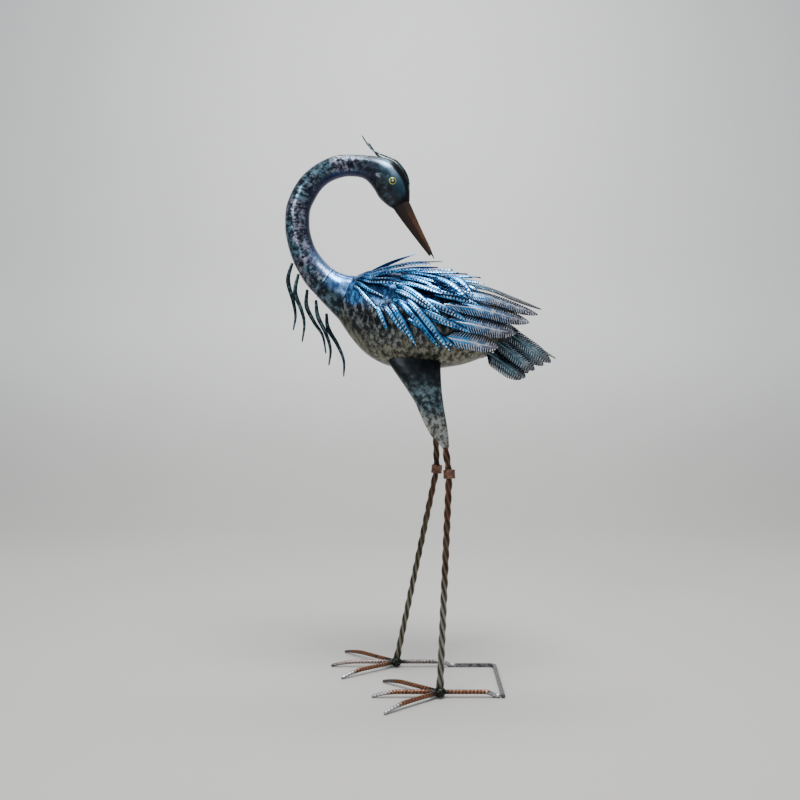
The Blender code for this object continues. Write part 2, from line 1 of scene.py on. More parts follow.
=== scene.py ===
# %% [markdown]
# # A metal garden bird on twisted bar legs
# The real bird is pressed, cut and welded from thin sheet steel, dabbed with metallic paint, and it
# stands on twisted square bar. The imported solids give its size. This lesson makes every piece again
# with its crimps, slits, twists and paint, each one in the place of its solid.

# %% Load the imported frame
import math
import random

import bmesh
import bpy
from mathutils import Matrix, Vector
from mathutils import noise as hills


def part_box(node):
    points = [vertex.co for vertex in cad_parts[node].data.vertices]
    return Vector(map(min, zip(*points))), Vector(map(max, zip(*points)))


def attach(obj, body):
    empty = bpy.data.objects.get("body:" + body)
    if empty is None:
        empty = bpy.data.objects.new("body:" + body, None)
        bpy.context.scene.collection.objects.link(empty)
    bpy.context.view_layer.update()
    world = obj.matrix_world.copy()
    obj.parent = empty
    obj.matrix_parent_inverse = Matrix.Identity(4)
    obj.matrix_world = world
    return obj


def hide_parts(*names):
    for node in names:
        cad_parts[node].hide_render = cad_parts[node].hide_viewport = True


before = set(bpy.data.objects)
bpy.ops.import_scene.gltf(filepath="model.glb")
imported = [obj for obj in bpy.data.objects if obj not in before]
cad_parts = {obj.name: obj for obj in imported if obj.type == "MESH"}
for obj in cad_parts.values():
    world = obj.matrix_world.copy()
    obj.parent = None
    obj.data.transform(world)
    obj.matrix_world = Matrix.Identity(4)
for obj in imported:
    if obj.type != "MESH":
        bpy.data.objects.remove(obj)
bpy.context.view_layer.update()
MM = 0.001

# %% [markdown]
# The forms below are drawn in a frame of their own, whose floor is at zero and whose feet stand either
# side of the middle line. The rear bar's solid says where that frame lies, so nothing is fitted by eye.

# %% Find the drawing frame from the rear bar
REAR_CORNER_X = 173 * MM
REAR_BAR_WIDTH = 0.0066
bar_low, bar_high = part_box("rear_bar")
PLACE = Vector((
    bar_high.x - REAR_CORNER_X - REAR_BAR_WIDTH / 2,
    (bar_low.y + bar_high.y) / 2,
    bar_low.z,
))
print("drawing frame at", [round(value, 5) for value in PLACE])

# %% [markdown]
# The camera stands level in front of the bird's near side. A small upward shift of the film, as on a
# view camera, keeps the legs upright in the picture.

# %% Set up the camera
PICTURE_SIZE = 800
FOCAL_PIXELS = 720
HORIZON_ROW = 424.6
CAMERA_BACK = 1.250
CAMERA_HEIGHT = 0.4457
FILM_WIDTH = 36

lens_data = bpy.data.cameras.new("view_camera")
lens_data.sensor_width = FILM_WIDTH
lens_data.lens = FILM_WIDTH * FOCAL_PIXELS / PICTURE_SIZE
lens_data.shift_y = (HORIZON_ROW - PICTURE_SIZE / 2) / PICTURE_SIZE
view_camera = bpy.data.objects.new("view_camera", lens_data)
view_camera.location = PLACE + Vector((0.0, -CAMERA_BACK, CAMERA_HEIGHT))
view_camera.rotation_euler = (math.radians(90), 0.0, 0.0)
bpy.context.scene.collection.objects.link(view_camera)
bpy.context.scene.camera = view_camera
print("lens", round(lens_data.lens, 2), "mm")

# %% [markdown]
# A finish is a small tree of shader nodes. Each number or colour that a node gives is wrapped, so that
# plain sums can be written on it and a finish reads as a short recipe.

# %% Helpers for finishes
NOISE_ROUGHNESS = 0.55


def add_node(tree, kind, inputs=None, **settings):
    """Node with its settings, its numbers and its links."""
    made = tree.nodes.new(kind)
    for key, value in settings.items():
        setattr(made, key, value)
    for key, value in (inputs or {}).items():
        if isinstance(value, Value):
            tree.links.new(value.socket, made.inputs[key])
        else:
            made.inputs[key].default_value = value
    return made


class Value:
    """Number, place or colour that a node gives."""

    def __init__(self, socket):
        self.socket = socket

    def node(self, kind, inputs, output=0, **settings):
        """What a new node in the same tree gives."""
        return Value(add_node(self.socket.id_data, kind, inputs, **settings).outputs[output])

    def calc(self, operation, other=0.0):
        """One sum on this number and another."""
        return self.node("ShaderNodeMath", {0: self, 1: other}, operation=operation)

    def __add__(self, other):
        return self.calc("ADD", other)

    def __sub__(self, other):
        return self.calc("SUBTRACT", other)

    def __rsub__(self, other):
        return self.node("ShaderNodeMath", {0: other, 1: self}, operation="SUBTRACT")

    def __mul__(self, other):
        return self.calc("MULTIPLY", other)

    def __abs__(self):
        return self.calc("ABSOLUTE")

    def fade(self, start, end):
        """Smooth step from 0 at start to 1 at end."""
        inputs = {"Value": self, "From Min": start, "From Max": end}
        return self.node("ShaderNodeMapRange", inputs, interpolation_type="SMOOTHSTEP")

    def spread(self, low, high):
        """This number, from 0 to 1, spread over a range."""
        return self.node("ShaderNodeMapRange", {"Value": self, "To Min": low, "To Max": high})

    def blend(self, a, b):
        """Colour a turning into colour b as this number goes from 0 to 1."""
        colours = [end if isinstance(end, Value) else (*end, 1.0) for end in (a, b)]
        return self.node("ShaderNodeMix", {0: self, 6: colours[0], 7: colours[1]}, 2, data_type="RGBA")

    def mottle(self, scale, detail=3.0, stretch=(1.0, 1.0, 1.0)):
        """Cloudy noise over this place, from 0 to 1, in lumps of about one over scale."""
        mapped = self.node("ShaderNodeMapping", {"Vector": self, "Scale": stretch})
        inputs = {"Vector": mapped, "Scale": scale, "Detail": detail, "Roughness": NOISE_ROUGHNESS}
        return self.node("ShaderNodeTexNoise", inputs, "Fac")


class Finish:
    """Material in the making."""

    def __init__(self, name):
        self.look = bpy.data.materials.new(name)
        self.look.use_nodes = True
        self.tree = self.look.node_tree
        self.shader = self.tree.nodes["Principled BSDF"]
        self.where = Value(add_node(self.tree, "ShaderNodeTexCoord").outputs["Object"])

    def mottle(self, *recipe):
        """Cloudy noise over the piece."""
        return self.where.mottle(*recipe)

    def height(self):
        """Height on the piece, in metres."""
        return self.where.node("ShaderNodeSeparateXYZ", {0: self.where}, 2)

    def sheet(self):
        """The two numbers of the piece's own map: across or round it, and along it."""
        mapped = Value(add_node(self.tree, "ShaderNodeTexCoord").outputs["UV"])
        parts = add_node(self.tree, "ShaderNodeSeparateXYZ", {0: mapped}).outputs
        return Value(parts[0]), Value(parts[1])

    def stored(self, name):
        """A number that the mesh carries at each point."""
        return Value(add_node(self.tree, "ShaderNodeAttribute", attribute_name=name).outputs["Fac"])

    def put(self, socket, value):
        """Give the shader a plain or a worked-out value."""
        if isinstance(value, Value):
            self.tree.links.new(value.socket, self.shader.inputs[socket])
        else:
            self.shader.inputs[socket].default_value = value

    def metal(self, colour, roughness, metallic, relief):
        """Painted metal. Its relief is a height, a strength and a depth."""
        height, strength, depth = relief
        bump = {"Height": height, "Strength": strength, "Distance": depth}
        self.put("Base Color", colour)
        self.put("Roughness", roughness)
        self.put("Metallic", metallic)
        self.put("Normal", height.node("ShaderNodeBump", bump))
        return self.look


print("finish helpers ready")

# %% [markdown]
# The stage is one long pale sheet that runs along the floor and curves up far behind, as in a photo
# studio. It isn't attached to the bird.

# %% Lay the floor and its backdrop
STAGE_HALF_WIDTH = 14.0
STAGE_FRONT = 14.0
STAGE_BEND_START = 1.8
STAGE_BEND_RADIUS = 1.6
STAGE_WALL = 4.0


def stage_profile(share):
    """Point y, z along the floor, round the bend and up the wall."""
    floor = STAGE_FRONT + STAGE_BEND_START
    bend = STAGE_BEND_RADIUS * math.pi / 2
    run = share * (floor + bend + STAGE_WALL)
    if run < floor:
        return -STAGE_FRONT + run, 0.0
    if run < floor + bend:
        turn = (run - floor) / STAGE_BEND_RADIUS
        rise = STAGE_BEND_RADIUS * (1 - math.cos(turn))
        return STAGE_BEND_START + STAGE_BEND_RADIUS * math.sin(turn), rise
    return STAGE_BEND_START + STAGE_BEND_RADIUS, STAGE_BEND_RADIUS + run - floor - bend


def floor_finish():
    """Pale plaster with the faintest cloud in it, a shade darker underfoot."""
    paint = Finish("stage_plaster")
    height = paint.height()
    cloud = paint.mottle(1.5, 4.0)
    low = cloud.blend((0.5, 0.49, 0.47), (0.54, 0.53, 0.51))
    high = cloud.blend((0.8, 0.8, 0.79), (0.86, 0.86, 0.85))
    paint.put("Base Color", height.fade(0.0, 1.2).blend(low, high))
    paint.put("Roughness", 0.85)
    return paint.look


stage_mesh = bmesh.new()
bmesh.ops.create_grid(stage_mesh, x_segments=1, y_segments=160, size=0.5)
for corner in stage_mesh.verts:
    y, z = stage_profile(corner.co.y + 0.5)
    corner.co = Vector((corner.co.x * 2 * STAGE_HALF_WIDTH, y, z))
stage_data = bpy.data.meshes.new("stage_sheet")
stage_mesh.to_mesh(stage_data)
stage_mesh.free()
stage_data.shade_smooth()
stage_data.materials.append(floor_finish())
stage_sheet = bpy.data.objects.new("stage_sheet", stage_data)
bpy.context.scene.collection.objects.link(stage_sheet)
print("stage ready")

# %% [markdown]
# Painted metal shows mostly what it reflects. One large soft panel overhead gives the long highlight on
# the neck and back, a weaker one fills from the front, a third lights the backdrop, and the sky stays dim
# so that the paint looks deep.

# %% Hang the lights
SKY_COLOUR = (0.80, 0.84, 0.90)
SKY_STRENGTH = 0.62
BIRD_MIDDLE = (0.0, 0.0, 0.55)
WALL_MIDDLE = (0.0, STAGE_BEND_START + STAGE_BEND_RADIUS, 1.5)


def soft_panel(name, place, target, size, power, colour):
    """Square soft light that faces a target."""
    light = bpy.data.lights.new(name, "AREA")
    light.shape = "SQUARE"
    light.size = size
    light.energy = power
    light.color = colour
    lamp = bpy.data.objects.new(name, light)
    lamp.location = place
    aim = Vector(target) - Vector(place)
    lamp.rotation_euler = aim.to_track_quat("-Z", "Y").to_euler()
    bpy.context.scene.collection.objects.link(lamp)


soft_panel("overhead_panel", (0.15, -0.55, 2.3), BIRD_MIDDLE, 0.75, 46, (1.0, 0.99, 0.97))
soft_panel("front_panel", (-1.6, -2.0, 1.9), BIRD_MIDDLE, 0.6, 24, (0.97, 0.98, 1.0))
soft_panel("backdrop_panel", (0.0, 0.6, 3.4), WALL_MIDDLE, 1.6, 90, (1.0, 1.0, 1.0))
sky = bpy.data.worlds.new("studio_sky")
sky.use_nodes = True
sky.node_tree.nodes["Background"].inputs["Color"].default_value = (*SKY_COLOUR, 1.0)
sky.node_tree.nodes["Background"].inputs["Strength"].default_value = SKY_STRENGTH
bpy.context.scene.world = sky
print("lights ready")

# %% [markdown]
# Every form starts as a flat grid of faces that a small function bends into place. The grid keeps how
# far across and along each point lies as its UV map, so that paint and slits can follow the metal.

# %% Helpers for shapes
MERGE = 0.00001
SHARP_ANGLE = math.radians(48)


def spline(rows, at):
    """Value of a smooth curve through equal tuples at a fractional row number."""
    last = len(rows) - 1
    at = min(max(at, 0.0), float(last))
    index = min(int(at), last - 1)
    t = at - index
    b = rows[index]
    c = rows[index + 1]
    a = rows[index - 1] if index > 0 else tuple(2 * p - q for p, q in zip(b, c))
    d = rows[index + 2] if index + 2 <= last else tuple(2 * q - p for p, q in zip(b, c))
    return tuple(
        0.5 * (2 * q + (r - p) * t + (2 * p - 5 * q + 4 * r - s) * t**2 + (3 * q - p - 3 * r + s) * t**3)
        for p, q, r, s in zip(a, b, c, d)
    )


def start_form():
    """Empty form with a UV map and its stored numbers."""
    bm = bmesh.new()
    bm.loops.layers.uv.new("UVMap")
    bm.verts.layers.float.new("along")
    bm.verts.layers.float.new("tint")
    return bm


def add_grid(bm, across, along, place, rows_to_map=1.0, tint=0.5):
    """Grid whose corners place(u, v) puts down."""
    uv = bm.loops.layers.uv["UVMap"]
    length = bm.verts.layers.float["along"]
    shade = bm.verts.layers.float["tint"]
    corners = bmesh.ops.create_grid(bm, x_segments=across, y_segments=along, size=0.5)["verts"]
    faces = {face for corner in corners for face in corner.link_faces}
    for face in faces:
        for loop in face.loops:
            loop[uv].uv = (loop.vert.co.x + 0.5, (loop.vert.co.y + 0.5) * rows_to_map)
    for corner in corners:
        u = corner.co.x + 0.5
        v = corner.co.y + 0.5
        corner[length] = v
        corner[shade] = tint
        corner.co = place(u, v)


def close_form(bm):
    """Merge the seam, fill the open ends and turn every face outward."""
    bmesh.ops.remove_doubles(bm, verts=bm.verts, dist=MERGE)
    rims = [edge for edge in bm.edges if edge.is_boundary]
    if rims:
        bmesh.ops.holes_fill(bm, edges=rims, sides=0)
    bmesh.ops.recalc_face_normals(bm, faces=bm.faces)


def face_outward(bm, outward):
    """Turn an open sheet so that its faces look the given way."""
    bm.normal_update()
    facing = sum((face.normal * face.calc_area()).dot(outward) for face in bm.faces)
    if facing < 0:
        bmesh.ops.reverse_faces(bm, faces=bm.faces)


made_pieces = []


def finish_piece(bm, node, look):
    """Piece that stands for one solid and takes that solid's slot."""
    bmesh.ops.translate(bm, verts=bm.verts, vec=PLACE)
    mesh = bpy.data.meshes.new(node + "_finished")
    bm.to_mesh(mesh)
    bm.free()
    mesh.materials.append(look)
    mesh.shade_smooth()
    mesh.set_sharp_from_angle(angle=SHARP_ANGLE)
    piece = bpy.data.objects.new(node + "_finished", mesh)
    bpy.context.scene.collection.objects.link(piece)
    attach(piece, "root")
    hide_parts(node)
    made_pieces.append(piece)
    return piece


def make_closed(node, across, along, place, look, rows_to_map=1.0):
    """Closed piece from one grid."""
    bm = start_form()
    add_grid(bm, across, along, place, rows_to_map)
    close_form(bm)
    return finish_piece(bm, node, look)


def thicken(piece, wall):
    """Give an open sheet its metal, on its outer side."""
    skin = piece.modifiers.new("metal", "SOLIDIFY")
    skin.thickness = wall
    skin.offset = 1.0


def hollow_point(rows, station, turn, lift=0.0):
    """Point on a lofted form, turned from its upper line toward the near side and lifted off its skin."""
    top_x, top_z, low_x, low_z, half_width = (value * MM for value in spline(rows, station))
    centre = Vector(((top_x + low_x) / 2, 0.0, (top_z + low_z) / 2))
    up = Vector(((top_x - low_x) / 2, 0.0, (top_z - low_z) / 2))
    across = (half_width + lift) * math.sin(turn)
    along = (up.length + lift) * math.cos(turn)
    return centre + up.normalized() * along - Vector((0.0, across, 0.0))


print("shape helpers ready")

# %% [markdown]
# The body is a beaten egg. Its rows give the upper and lower line and the half width, from the neck to
# the tail. Thin steel is never quite even, so a very low unevenness is added to its skin.

# %% Body rows and skin
BODY_ROWS = (
    (-77, 703, -107, 629, 33),
    (-64, 705, -85, 597, 45),
    (-43, 706, -59, 569, 58),
    (-14, 707, -26, 550, 69),
    (21, 705, 17, 542, 75),
    (61, 698, 62, 543, 75),
    (101, 684, 108, 550, 66),
    (135, 665, 144, 563, 50),
    (165, 643, 174, 580, 30),
    (188, 617, 191, 596, 10),
)
UNEVENNESS = 0.0005
WELD_GAP = 0.0003


def uneven(point, scale=38.0):
    """Gentle unevenness of beaten sheet."""
    return UNEVENNESS * hills.noise(point * scale)


def loft_skin(node, rows, first, last, around, along, look, relief=None):
    """Closed skin from one station to another, with the unevenness and any relief added."""
    def place(u, v):
        station = first + (last - first) * v
        turn = 2 * math.pi * u
        point = hollow_point(rows, station, turn)
        lift = uneven(point)
        if relief:
            lift += relief(point, station, turn)
        return hollow_point(rows, station, turn, lift)

    return make_closed(node, around, along, place, look)


def round_share(u):
    """Share of the way round a tube from its upper or inner line, 0, to its lower or outer line, 1."""
    return 1.0 - abs(u * 2.0 - 1.0)


def body_finish():
    """Navy back, charcoal flank dabbed with silver, cream belly with dark blotches, painted shade underneath.
    """
    paint = Finish("body_paint")
    u, v = paint.sheet()
    under = round_share(u)
    small = paint.mottle(120, 3.0, (1.3, 1.0, 0.75))
    large = paint.mottle(42)
    tall = paint.mottle(100, 3.0, (1.5, 1.0, 0.55))
    fine = paint.mottle(300, 2.0)
    soft_dabs = small * 0.8 + fine * 0.2
    dabs = soft_dabs.fade(0.44, 0.64)
    flank = dabs.blend((0.011, 0.013, 0.016), (0.21, 0.23, 0.23))
    back = dabs.blend((0.006, 0.03, 0.09), (0.05, 0.24, 0.56))
    blotches = tall * 0.75 + fine * 0.25
    belly = blotches.fade(0.42, 0.6).blend((0.02, 0.021, 0.016), (0.19, 0.19, 0.14))
    wander = under + (large - 0.5) * 0.3
    behind = (v - 0.45) * 0.22
    low = (wander + behind).fade(0.56, 0.78)
    skin = low.blend(flank, belly)
    # Painted shade: the lowest band of the belly, facing the floor, is darkened.
    rim = under.fade(0.84, 0.97)
    skin = (rim * 0.65).blend(skin, (0.05, 0.05, 0.045))
    painted_low = wander - v.fade(0.3, 0.05) * 0.1
    shade = painted_low.fade(0.5, 0.36).blend(skin, back)
    rough = small.spread(0.26, 0.44)
    return paint.metal(shade, roughness=rough, metallic=0.78, relief=(soft_dabs, 0.22, 0.0006))


body_piece = loft_skin("body", BODY_ROWS, 0.004, 9, 96, 120, body_finish())
print("body faces", len(body_piece.data.polygons))

# %% [markdown]
# A short sleeve joins the body to the neck between two weld seams. The neck and head are one tube that
# swells to the head. A crease on each cheek runs back from the eye, and the crown is a low ridge.

# %% Neck rows and head relief
NECK_ROWS = (
    (-77, 703, -107, 629, 33),
    (-95, 706, -124, 646, 29),
    (-114, 714, -143, 667, 26),
    (-131, 730, -165, 692, 24),
    (-145, 749, -182, 722, 22.5),
    (-153, 770, -193, 751, 21.5),
    (-157, 792, -199, 785, 21),
    (-156, 817, -198, 818, 20.5),
    (-149, 835, -190, 844, 20.5),
    (-136, 855, -174, 871, 20.5),
    (-119, 869, -149, 894, 19.5),
    (-98, 876, -117, 910, 19),
    (-80, 877, -87, 913, 18),
    (-64, 874, -56, 912, 18.5),
    (-53, 865, -28, 908, 20.5),
    (-44, 853, -10, 901, 22.5),
    (-36, 840, 3, 889, 22.5),
    (-25, 829, 12, 874, 20),
    (-16, 823, 16, 856, 15),
    (-12, 821, 16, 833, 9.5),
)
NECK_SEAM_STATION = 2.0
CHEEK_CREASE = ((-58, 867), (-50, 873), (-42, 876), (-33, 875), (-24, 870))
CREASE_DEPTH = 0.0016
CREASE_WIDTH = 4.0
SEAM_LIP = 0.0005
SEAM_SPAN = 0.05
SEAM_HALF_GAP = 0.005
HEAD_START = 11
CHEEK_START = 13.5
CHEEK_GROWTH = 1.5
CHEEK_SWELL = 0.0010
CROWN_RIDGE = 0.0011


def from_line(point, line):
    """Distance in millimetres from a point's x and z to a bent line."""
    spot = Vector((point.x / MM, point.z / MM))
    nearest = 1e9
    for a, b in zip(line, line[1:]):
        a = Vector(a)
        run = Vector(b) - a
        share = min(max((spot - a).dot(run) / run.length_squared, 0.0), 1.0)
        nearest = min(nearest, (spot - a - run * share).length)
    return nearest


def head_relief(point, station, turn):
    """Cheek creases, crown ridge and the lip at the weld seam."""
    lip = SEAM_LIP * math.exp(-((station - NECK_SEAM_STATION) / SEAM_SPAN) ** 2)
    if station < HEAD_START:
        return lip
    side = abs(math.sin(turn))
    crease = CREASE_DEPTH * math.exp(-((from_line(point, CHEEK_CREASE) / CREASE_WIDTH) ** 2)) * side
    grown = min(max((station - CHEEK_START) / CHEEK_GROWTH, 0.0), 1.0)
    ridge = CROWN_RIDGE * grown * max(-math.cos(turn), 0.0) ** 14
    cheek = CHEEK_SWELL * grown * side * max(math.cos(turn), 0.0)
    return ridge + cheek - crease


def neck_finish():
    """Dark pewter tube dabbed with silver and pale teal, turning blue-black on the head.
    Painted highlights lie on the arch and the head, and a faint painted reflection on the inner side.
    """
    paint = Finish("neck_paint")
    u, v = paint.sheet()
    outer = round_share(u)
    unrolled = Value(add_node(paint.tree, "ShaderNodeCombineXYZ", {0: u * 0.1, 1: v}).outputs[0])
    small = paint.mottle(108)
    strokes = unrolled.mottle(84)
    fine = paint.mottle(250)
    large = paint.mottle(30, 2.0)
    rounder = small * 0.4 + fine * 0.25
    dabs = strokes * 0.35 + rounder
    dabs = dabs.fade(0.44, 0.62)
    band = outer.fade(0.12, 0.36) * outer.fade(1.0, 0.76)
    band = band * v.fade(0.72, 0.54)
    dabs = dabs * band
    tone = large.fade(0.42, 0.6).blend((0.15, 0.28, 0.36), (0.32, 0.32, 0.42))
    # The inner side gets a faint purple tint: a painted reflection.
    base = outer.fade(0.05, 0.45).blend((0.036, 0.036, 0.08), (0.012, 0.017, 0.028))
    neck = dabs.blend(base, tone)
    low = v.fade(0.17, 0.0) * outer.fade(0.55, 0.2)
    neck = low.blend(neck, (0.16, 0.3, 0.56))
    # Painted highlight: a pale lilac-white streak along the outer top of the arch.
    arch_highlight = outer.fade(0.84, 0.95) * v.fade(0.34, 0.5)
    arch_highlight = arch_highlight * v.fade(0.78, 0.64)
    neck = (arch_highlight * 0.8).blend(neck, (0.4, 0.4, 0.6))
    head = outer.fade(0.34, 0.6).blend((0.027, 0.03, 0.036), (0.028, 0.075, 0.112))
    head = (small.fade(0.45, 0.7) * 0.5).blend(head, (0.1, 0.16, 0.19))
    # Painted highlight: a blue-white streak along the top of the head, above the eye.
    head_highlight = outer.fade(0.54, 0.62) * outer.fade(0.7, 0.66)
    head_highlight = head_highlight * v.fade(0.9, 0.8)
    head = (head_highlight * 0.7).blend(head, (0.2, 0.28, 0.4))
    stripe_side = outer.fade(0.68, 0.715) * outer.fade(0.865, 0.83)
    stripe = stripe_side * v.fade(0.72, 0.78)
    head = outer.fade(0.84, 0.9).blend(head, (0.085, 0.115, 0.125))
    head = stripe.blend(head, (0.004, 0.005, 0.006))
    head = v.fade(0.93, 0.99).blend(head, (0.01, 0.01, 0.011))
    shade = v.fade(0.66, 0.76).blend(neck, head)
    return paint.metal(shade, roughness=small.spread(0.2, 0.38), metallic=0.82, relief=(dabs, 0.3, 0.0005))


def sleeve_finish():
    """Bright blue on top, grey-brown mottle below."""
    paint = Finish("sleeve_paint")
    u, v = paint.sheet()
    under = round_share(u)
    small = paint.mottle(105)
    above = small.fade(0.4, 0.62).blend((0.03, 0.1, 0.3), (0.14, 0.34, 0.72))
    below = small.fade(0.42, 0.64).blend((0.012, 0.018, 0.026), (0.1, 0.17, 0.21))
    turn = under + (small - 0.5) * 0.3
    painted = turn.fade(0.34, 0.62).blend(above, below)
    seam = v.fade(0.05, 0.0) + v.fade(0.95, 1.0)
    shade = seam.blend(painted, (0.006, 0.008, 0.012))
    return paint.metal(shade, roughness=small.spread(0.16, 0.32), metallic=0.82, relief=(small, 0.2, 0.0005))


HEAD_STATION = len(NECK_ROWS) - 1
sleeve_end = NECK_SEAM_STATION - SEAM_HALF_GAP
neck_start = NECK_SEAM_STATION + SEAM_HALF_GAP
loft_skin("neck_base", NECK_ROWS, SEAM_HALF_GAP, sleeve_end, 80, 24, sleeve_finish())
neck_piece = loft_skin(
    "neck_and_head", NECK_ROWS, neck_start, HEAD_STATION, 80, 300, neck_finish(), head_relief
)
print("neck faces", len(neck_piece.data.polygons))

# %% [markdown]
# Each eye is a shallow enamel bead: a yellow-green ring round a black pupil, with a pale spot in the
# middle as a painted highlight. It is a round grid drawn from its middle to its rim, so the rings follow
# its map.

# %% Eyes
EYE_RADIUS = 0.0064
EYE_HEIGHT = 0.0030
EYE_STATION = 16.3
EYE_TURN = math.radians(92)
SIDES = {"near": 1, "far": -1}


def eye_finish():
    """Glossy rings of enamel, with a painted highlight in the middle."""
    paint = Finish("eye_enamel")
    v = paint.sheet()[1]
    cloud = paint.mottle(900, 2.0)
    ring = v.fade(0.56, 0.62).blend((0.004, 0.004, 0.004), (0.4, 0.55, 0.04))
    ring = v.fade(0.82, 0.9).blend(ring, (0.02, 0.03, 0.01))
    # Painted highlight: the pale spot in the middle stands for a glint on the enamel.
    ring = v.fade(0.2, 0.13).blend(ring, (0.7, 0.72, 0.45))
    paint.put("Base Color", cloud.spread(0.0, 0.12).blend(ring, (0.2, 0.25, 0.02)))
    paint.put("Roughness", 0.14)
    paint.put("Coat Weight", 0.6)
    return paint.look


eye_look = eye_finish()
for side, sign in SIDES.items():
    middle = hollow_point(NECK_ROWS, EYE_STATION, sign * EYE_TURN)
    ahead = hollow_point(NECK_ROWS, EYE_STATION + 0.2, sign * EYE_TURN) - middle
    beside = hollow_point(NECK_ROWS, EYE_STATION, sign * (EYE_TURN + 0.2)) - middle
    out = ahead.cross(beside).normalized()
    if out.y * sign > 0:
        out = -out
    ahead = ahead.normalized()
    beside = out.cross(ahead).normalized()

    def eye_point(u, v, middle=middle, ahead=ahead, beside=beside, out=out):
        turn = 2 * math.pi * u
        radius = EYE_RADIUS * math.sin(v * math.pi / 2)
        height = EYE_HEIGHT * (math.cos(v * math.pi / 2) - 0.25)
        return middle + (ahead * math.cos(turn) + beside * math.sin(turn)) * radius + out * height

    make_closed("eye_" + side, 32, 12, eye_point, eye_look)
print("eyes made", len(SIDES))

# %% [markdown]
# The bill is two half round mandibles that meet along the gape. The upper one is copper and a little
# longer, with a small hook, and the lower one is brown-black.

# %% Bill
GAPE_END = (54, 741)
UPPER_EDGE = ((16, 833), (27, 808), (40, 779), (52, 754), (60, 733))
LOWER_EDGE = ((-12, 821), (3, 800), (19, 779), (36, 757), (51, 738))
BILL_HALF_WIDTH = 0.0090
BILL_TIP_SHARE = 0.16
BILL_ROOT_DEPTH = 0.004
UPPER_REACH = 1.07


def bill_finish(name, root, middle, tip, gape_highlight):
    """Brushed paint that darkens to the tip, with a painted highlight as a bright line along the gape."""
    paint = Finish(name)
    u, v = paint.sheet()
    streak = paint.mottle(240, 3.0, (1.0, 1.0, 0.3))
    shade = v.fade(0.04, 0.46).blend(root, middle)
    shade = v.fade(0.7, 0.96).blend(shade, tip)
    shade = (streak.fade(0.42, 0.64) * 0.6).blend(shade, (0.03, 0.015, 0.01))
    rim = abs(u - 0.5)
    crown = rim.fade(0.36, 0.14) * 0.75
    shade = crown.blend(shade, (0.022, 0.014, 0.01))
    # Painted highlight: a bright thin line along the gape.
    line = rim.fade(0.44, 0.475) * gape_highlight
    shade = line.blend(shade, (0.8, 0.52, 0.28))
    rough = streak.spread(0.25, 0.45)
    return paint.metal(shade, roughness=rough, metallic=0.55, relief=(streak, 0.2, 0.0004))


root_low = Vector((NECK_ROWS[-1][0], 0.0, NECK_ROWS[-1][1])) * MM
root_high = Vector((NECK_ROWS[-1][2], 0.0, NECK_ROWS[-1][3])) * MM
gape_start = root_low.lerp(root_high, 0.5)
gape_end = Vector((GAPE_END[0], 0.0, GAPE_END[1])) * MM
bill_back = (gape_start - gape_end).normalized() * BILL_ROOT_DEPTH


def make_mandible(node, edge, reach, look):
    """One half of the bill, from inside the head to its tip."""
    def place(u, v):
        seam = gape_start.lerp(gape_end, v * reach)
        x, z = (value * MM for value in spline(edge, v * (len(edge) - 1)))
        crown = Vector((x, 0.0, z)) - seam
        turn = 2 * math.pi * u + math.pi
        share = BILL_TIP_SHARE + (1 - BILL_TIP_SHARE) * (1 - v) ** 0.9
        bulge = max(math.sin(turn), 0.0) ** 0.85 * crown.length
        width = math.cos(turn) * BILL_HALF_WIDTH * share
        sunk = bill_back * max(1 - v * 12, 0.0)
        return seam + sunk + crown.normalized() * (WELD_GAP / 2 + bulge) - Vector((0.0, width, 0.0))

    make_closed(node, 40, 60, place, look)


upper_look = bill_finish(
    "upper_bill_paint", (0.035, 0.016, 0.010), (0.37, 0.150, 0.060), (0.08, 0.08, 0.08), 0.9
)
lower_look = bill_finish(
    "lower_bill_paint", (0.010, 0.008, 0.008), (0.055, 0.027, 0.018), (0.07, 0.07, 0.065), 0.25
)
make_mandible("upper_bill", UPPER_EDGE, UPPER_REACH, upper_look)
make_mandible("lower_bill", LOWER_EDGE, 1.0, lower_look)
print("bill length", round((gape_end - gape_start).length, 4))

# %% [markdown]
# The loose plumes are narrow strips of sheet, cut to a point and bent by hand. Two lie on the crown and
# sweep free behind it, and five wavy ones hang from the front of the neck.

# %% Crest and breast plumes
CREST_WIDTH = 0.0042
CREST_CROWN = ((17.8, 160, 1.6), (17.0, 158, 2.2), (16.0, 156, 2.6), (15.0, 156, 3.0))
CREST_FREE_POINTS = {
    "near": ((-40, -9, 914), (-53, -8, 925), (-66, -6, 945)),
    "far": ((-36, 9, 914), (-46, 9, 925), (-55, 8, 938)),
}
BREAST_PLUME_WIDTH = 0.0075
BREAST_PLUMES = (
    ((-187.5, 4, 727), (-195, 5, 697), (-186, 6, 660), (-182, 5, 634), (-186, 4, 610)),
    ((-175.5, -5, 706), (-181, -6, 674), (-170, -7, 643), (-165, -7, 619), (-169, -6, 588)),
    ((-161.5, 5, 681), (-163, 6, 653), (-150, 7, 625), (-135, 7, 601), (-129, 6, 569)),
    ((-145.5, -4, 661), (-142, -5, 633), (-128, -6, 603), (-120, -6, 575), (-123, -5, 548)),
    ((-128, 3, 639), (-125, 4, 613), (-109, 5, 585), (-98, 5, 557), (-98, 4, 529)),
)
PLUME_SHEET = 0.0009
PLUME_ARCH = 0.0007


def plume_finish():
    """Black-teal paint, rubbed to grey on the high spots."""
    paint = Finish("plume_paint")
    u = paint.sheet()[0]
    cloud = paint.mottle(150, 4.0)
    middle = abs(u - 0.5)
    shade = cloud.fade(0.4, 0.66).blend((0.006, 0.014, 0.018), (0.035, 0.09, 0.105))
    rubbed = middle.fade(0.12, 0.0) * cloud.fade(0.5, 0.62)
    shade = (rubbed * 0.6).blend(shade, (0.2, 0.27, 0.28))
    return paint.metal(shade, roughness=cloud.spread(0.26, 0.44), metallic=0.75, relief=(cloud, 0.2, 0.0004))


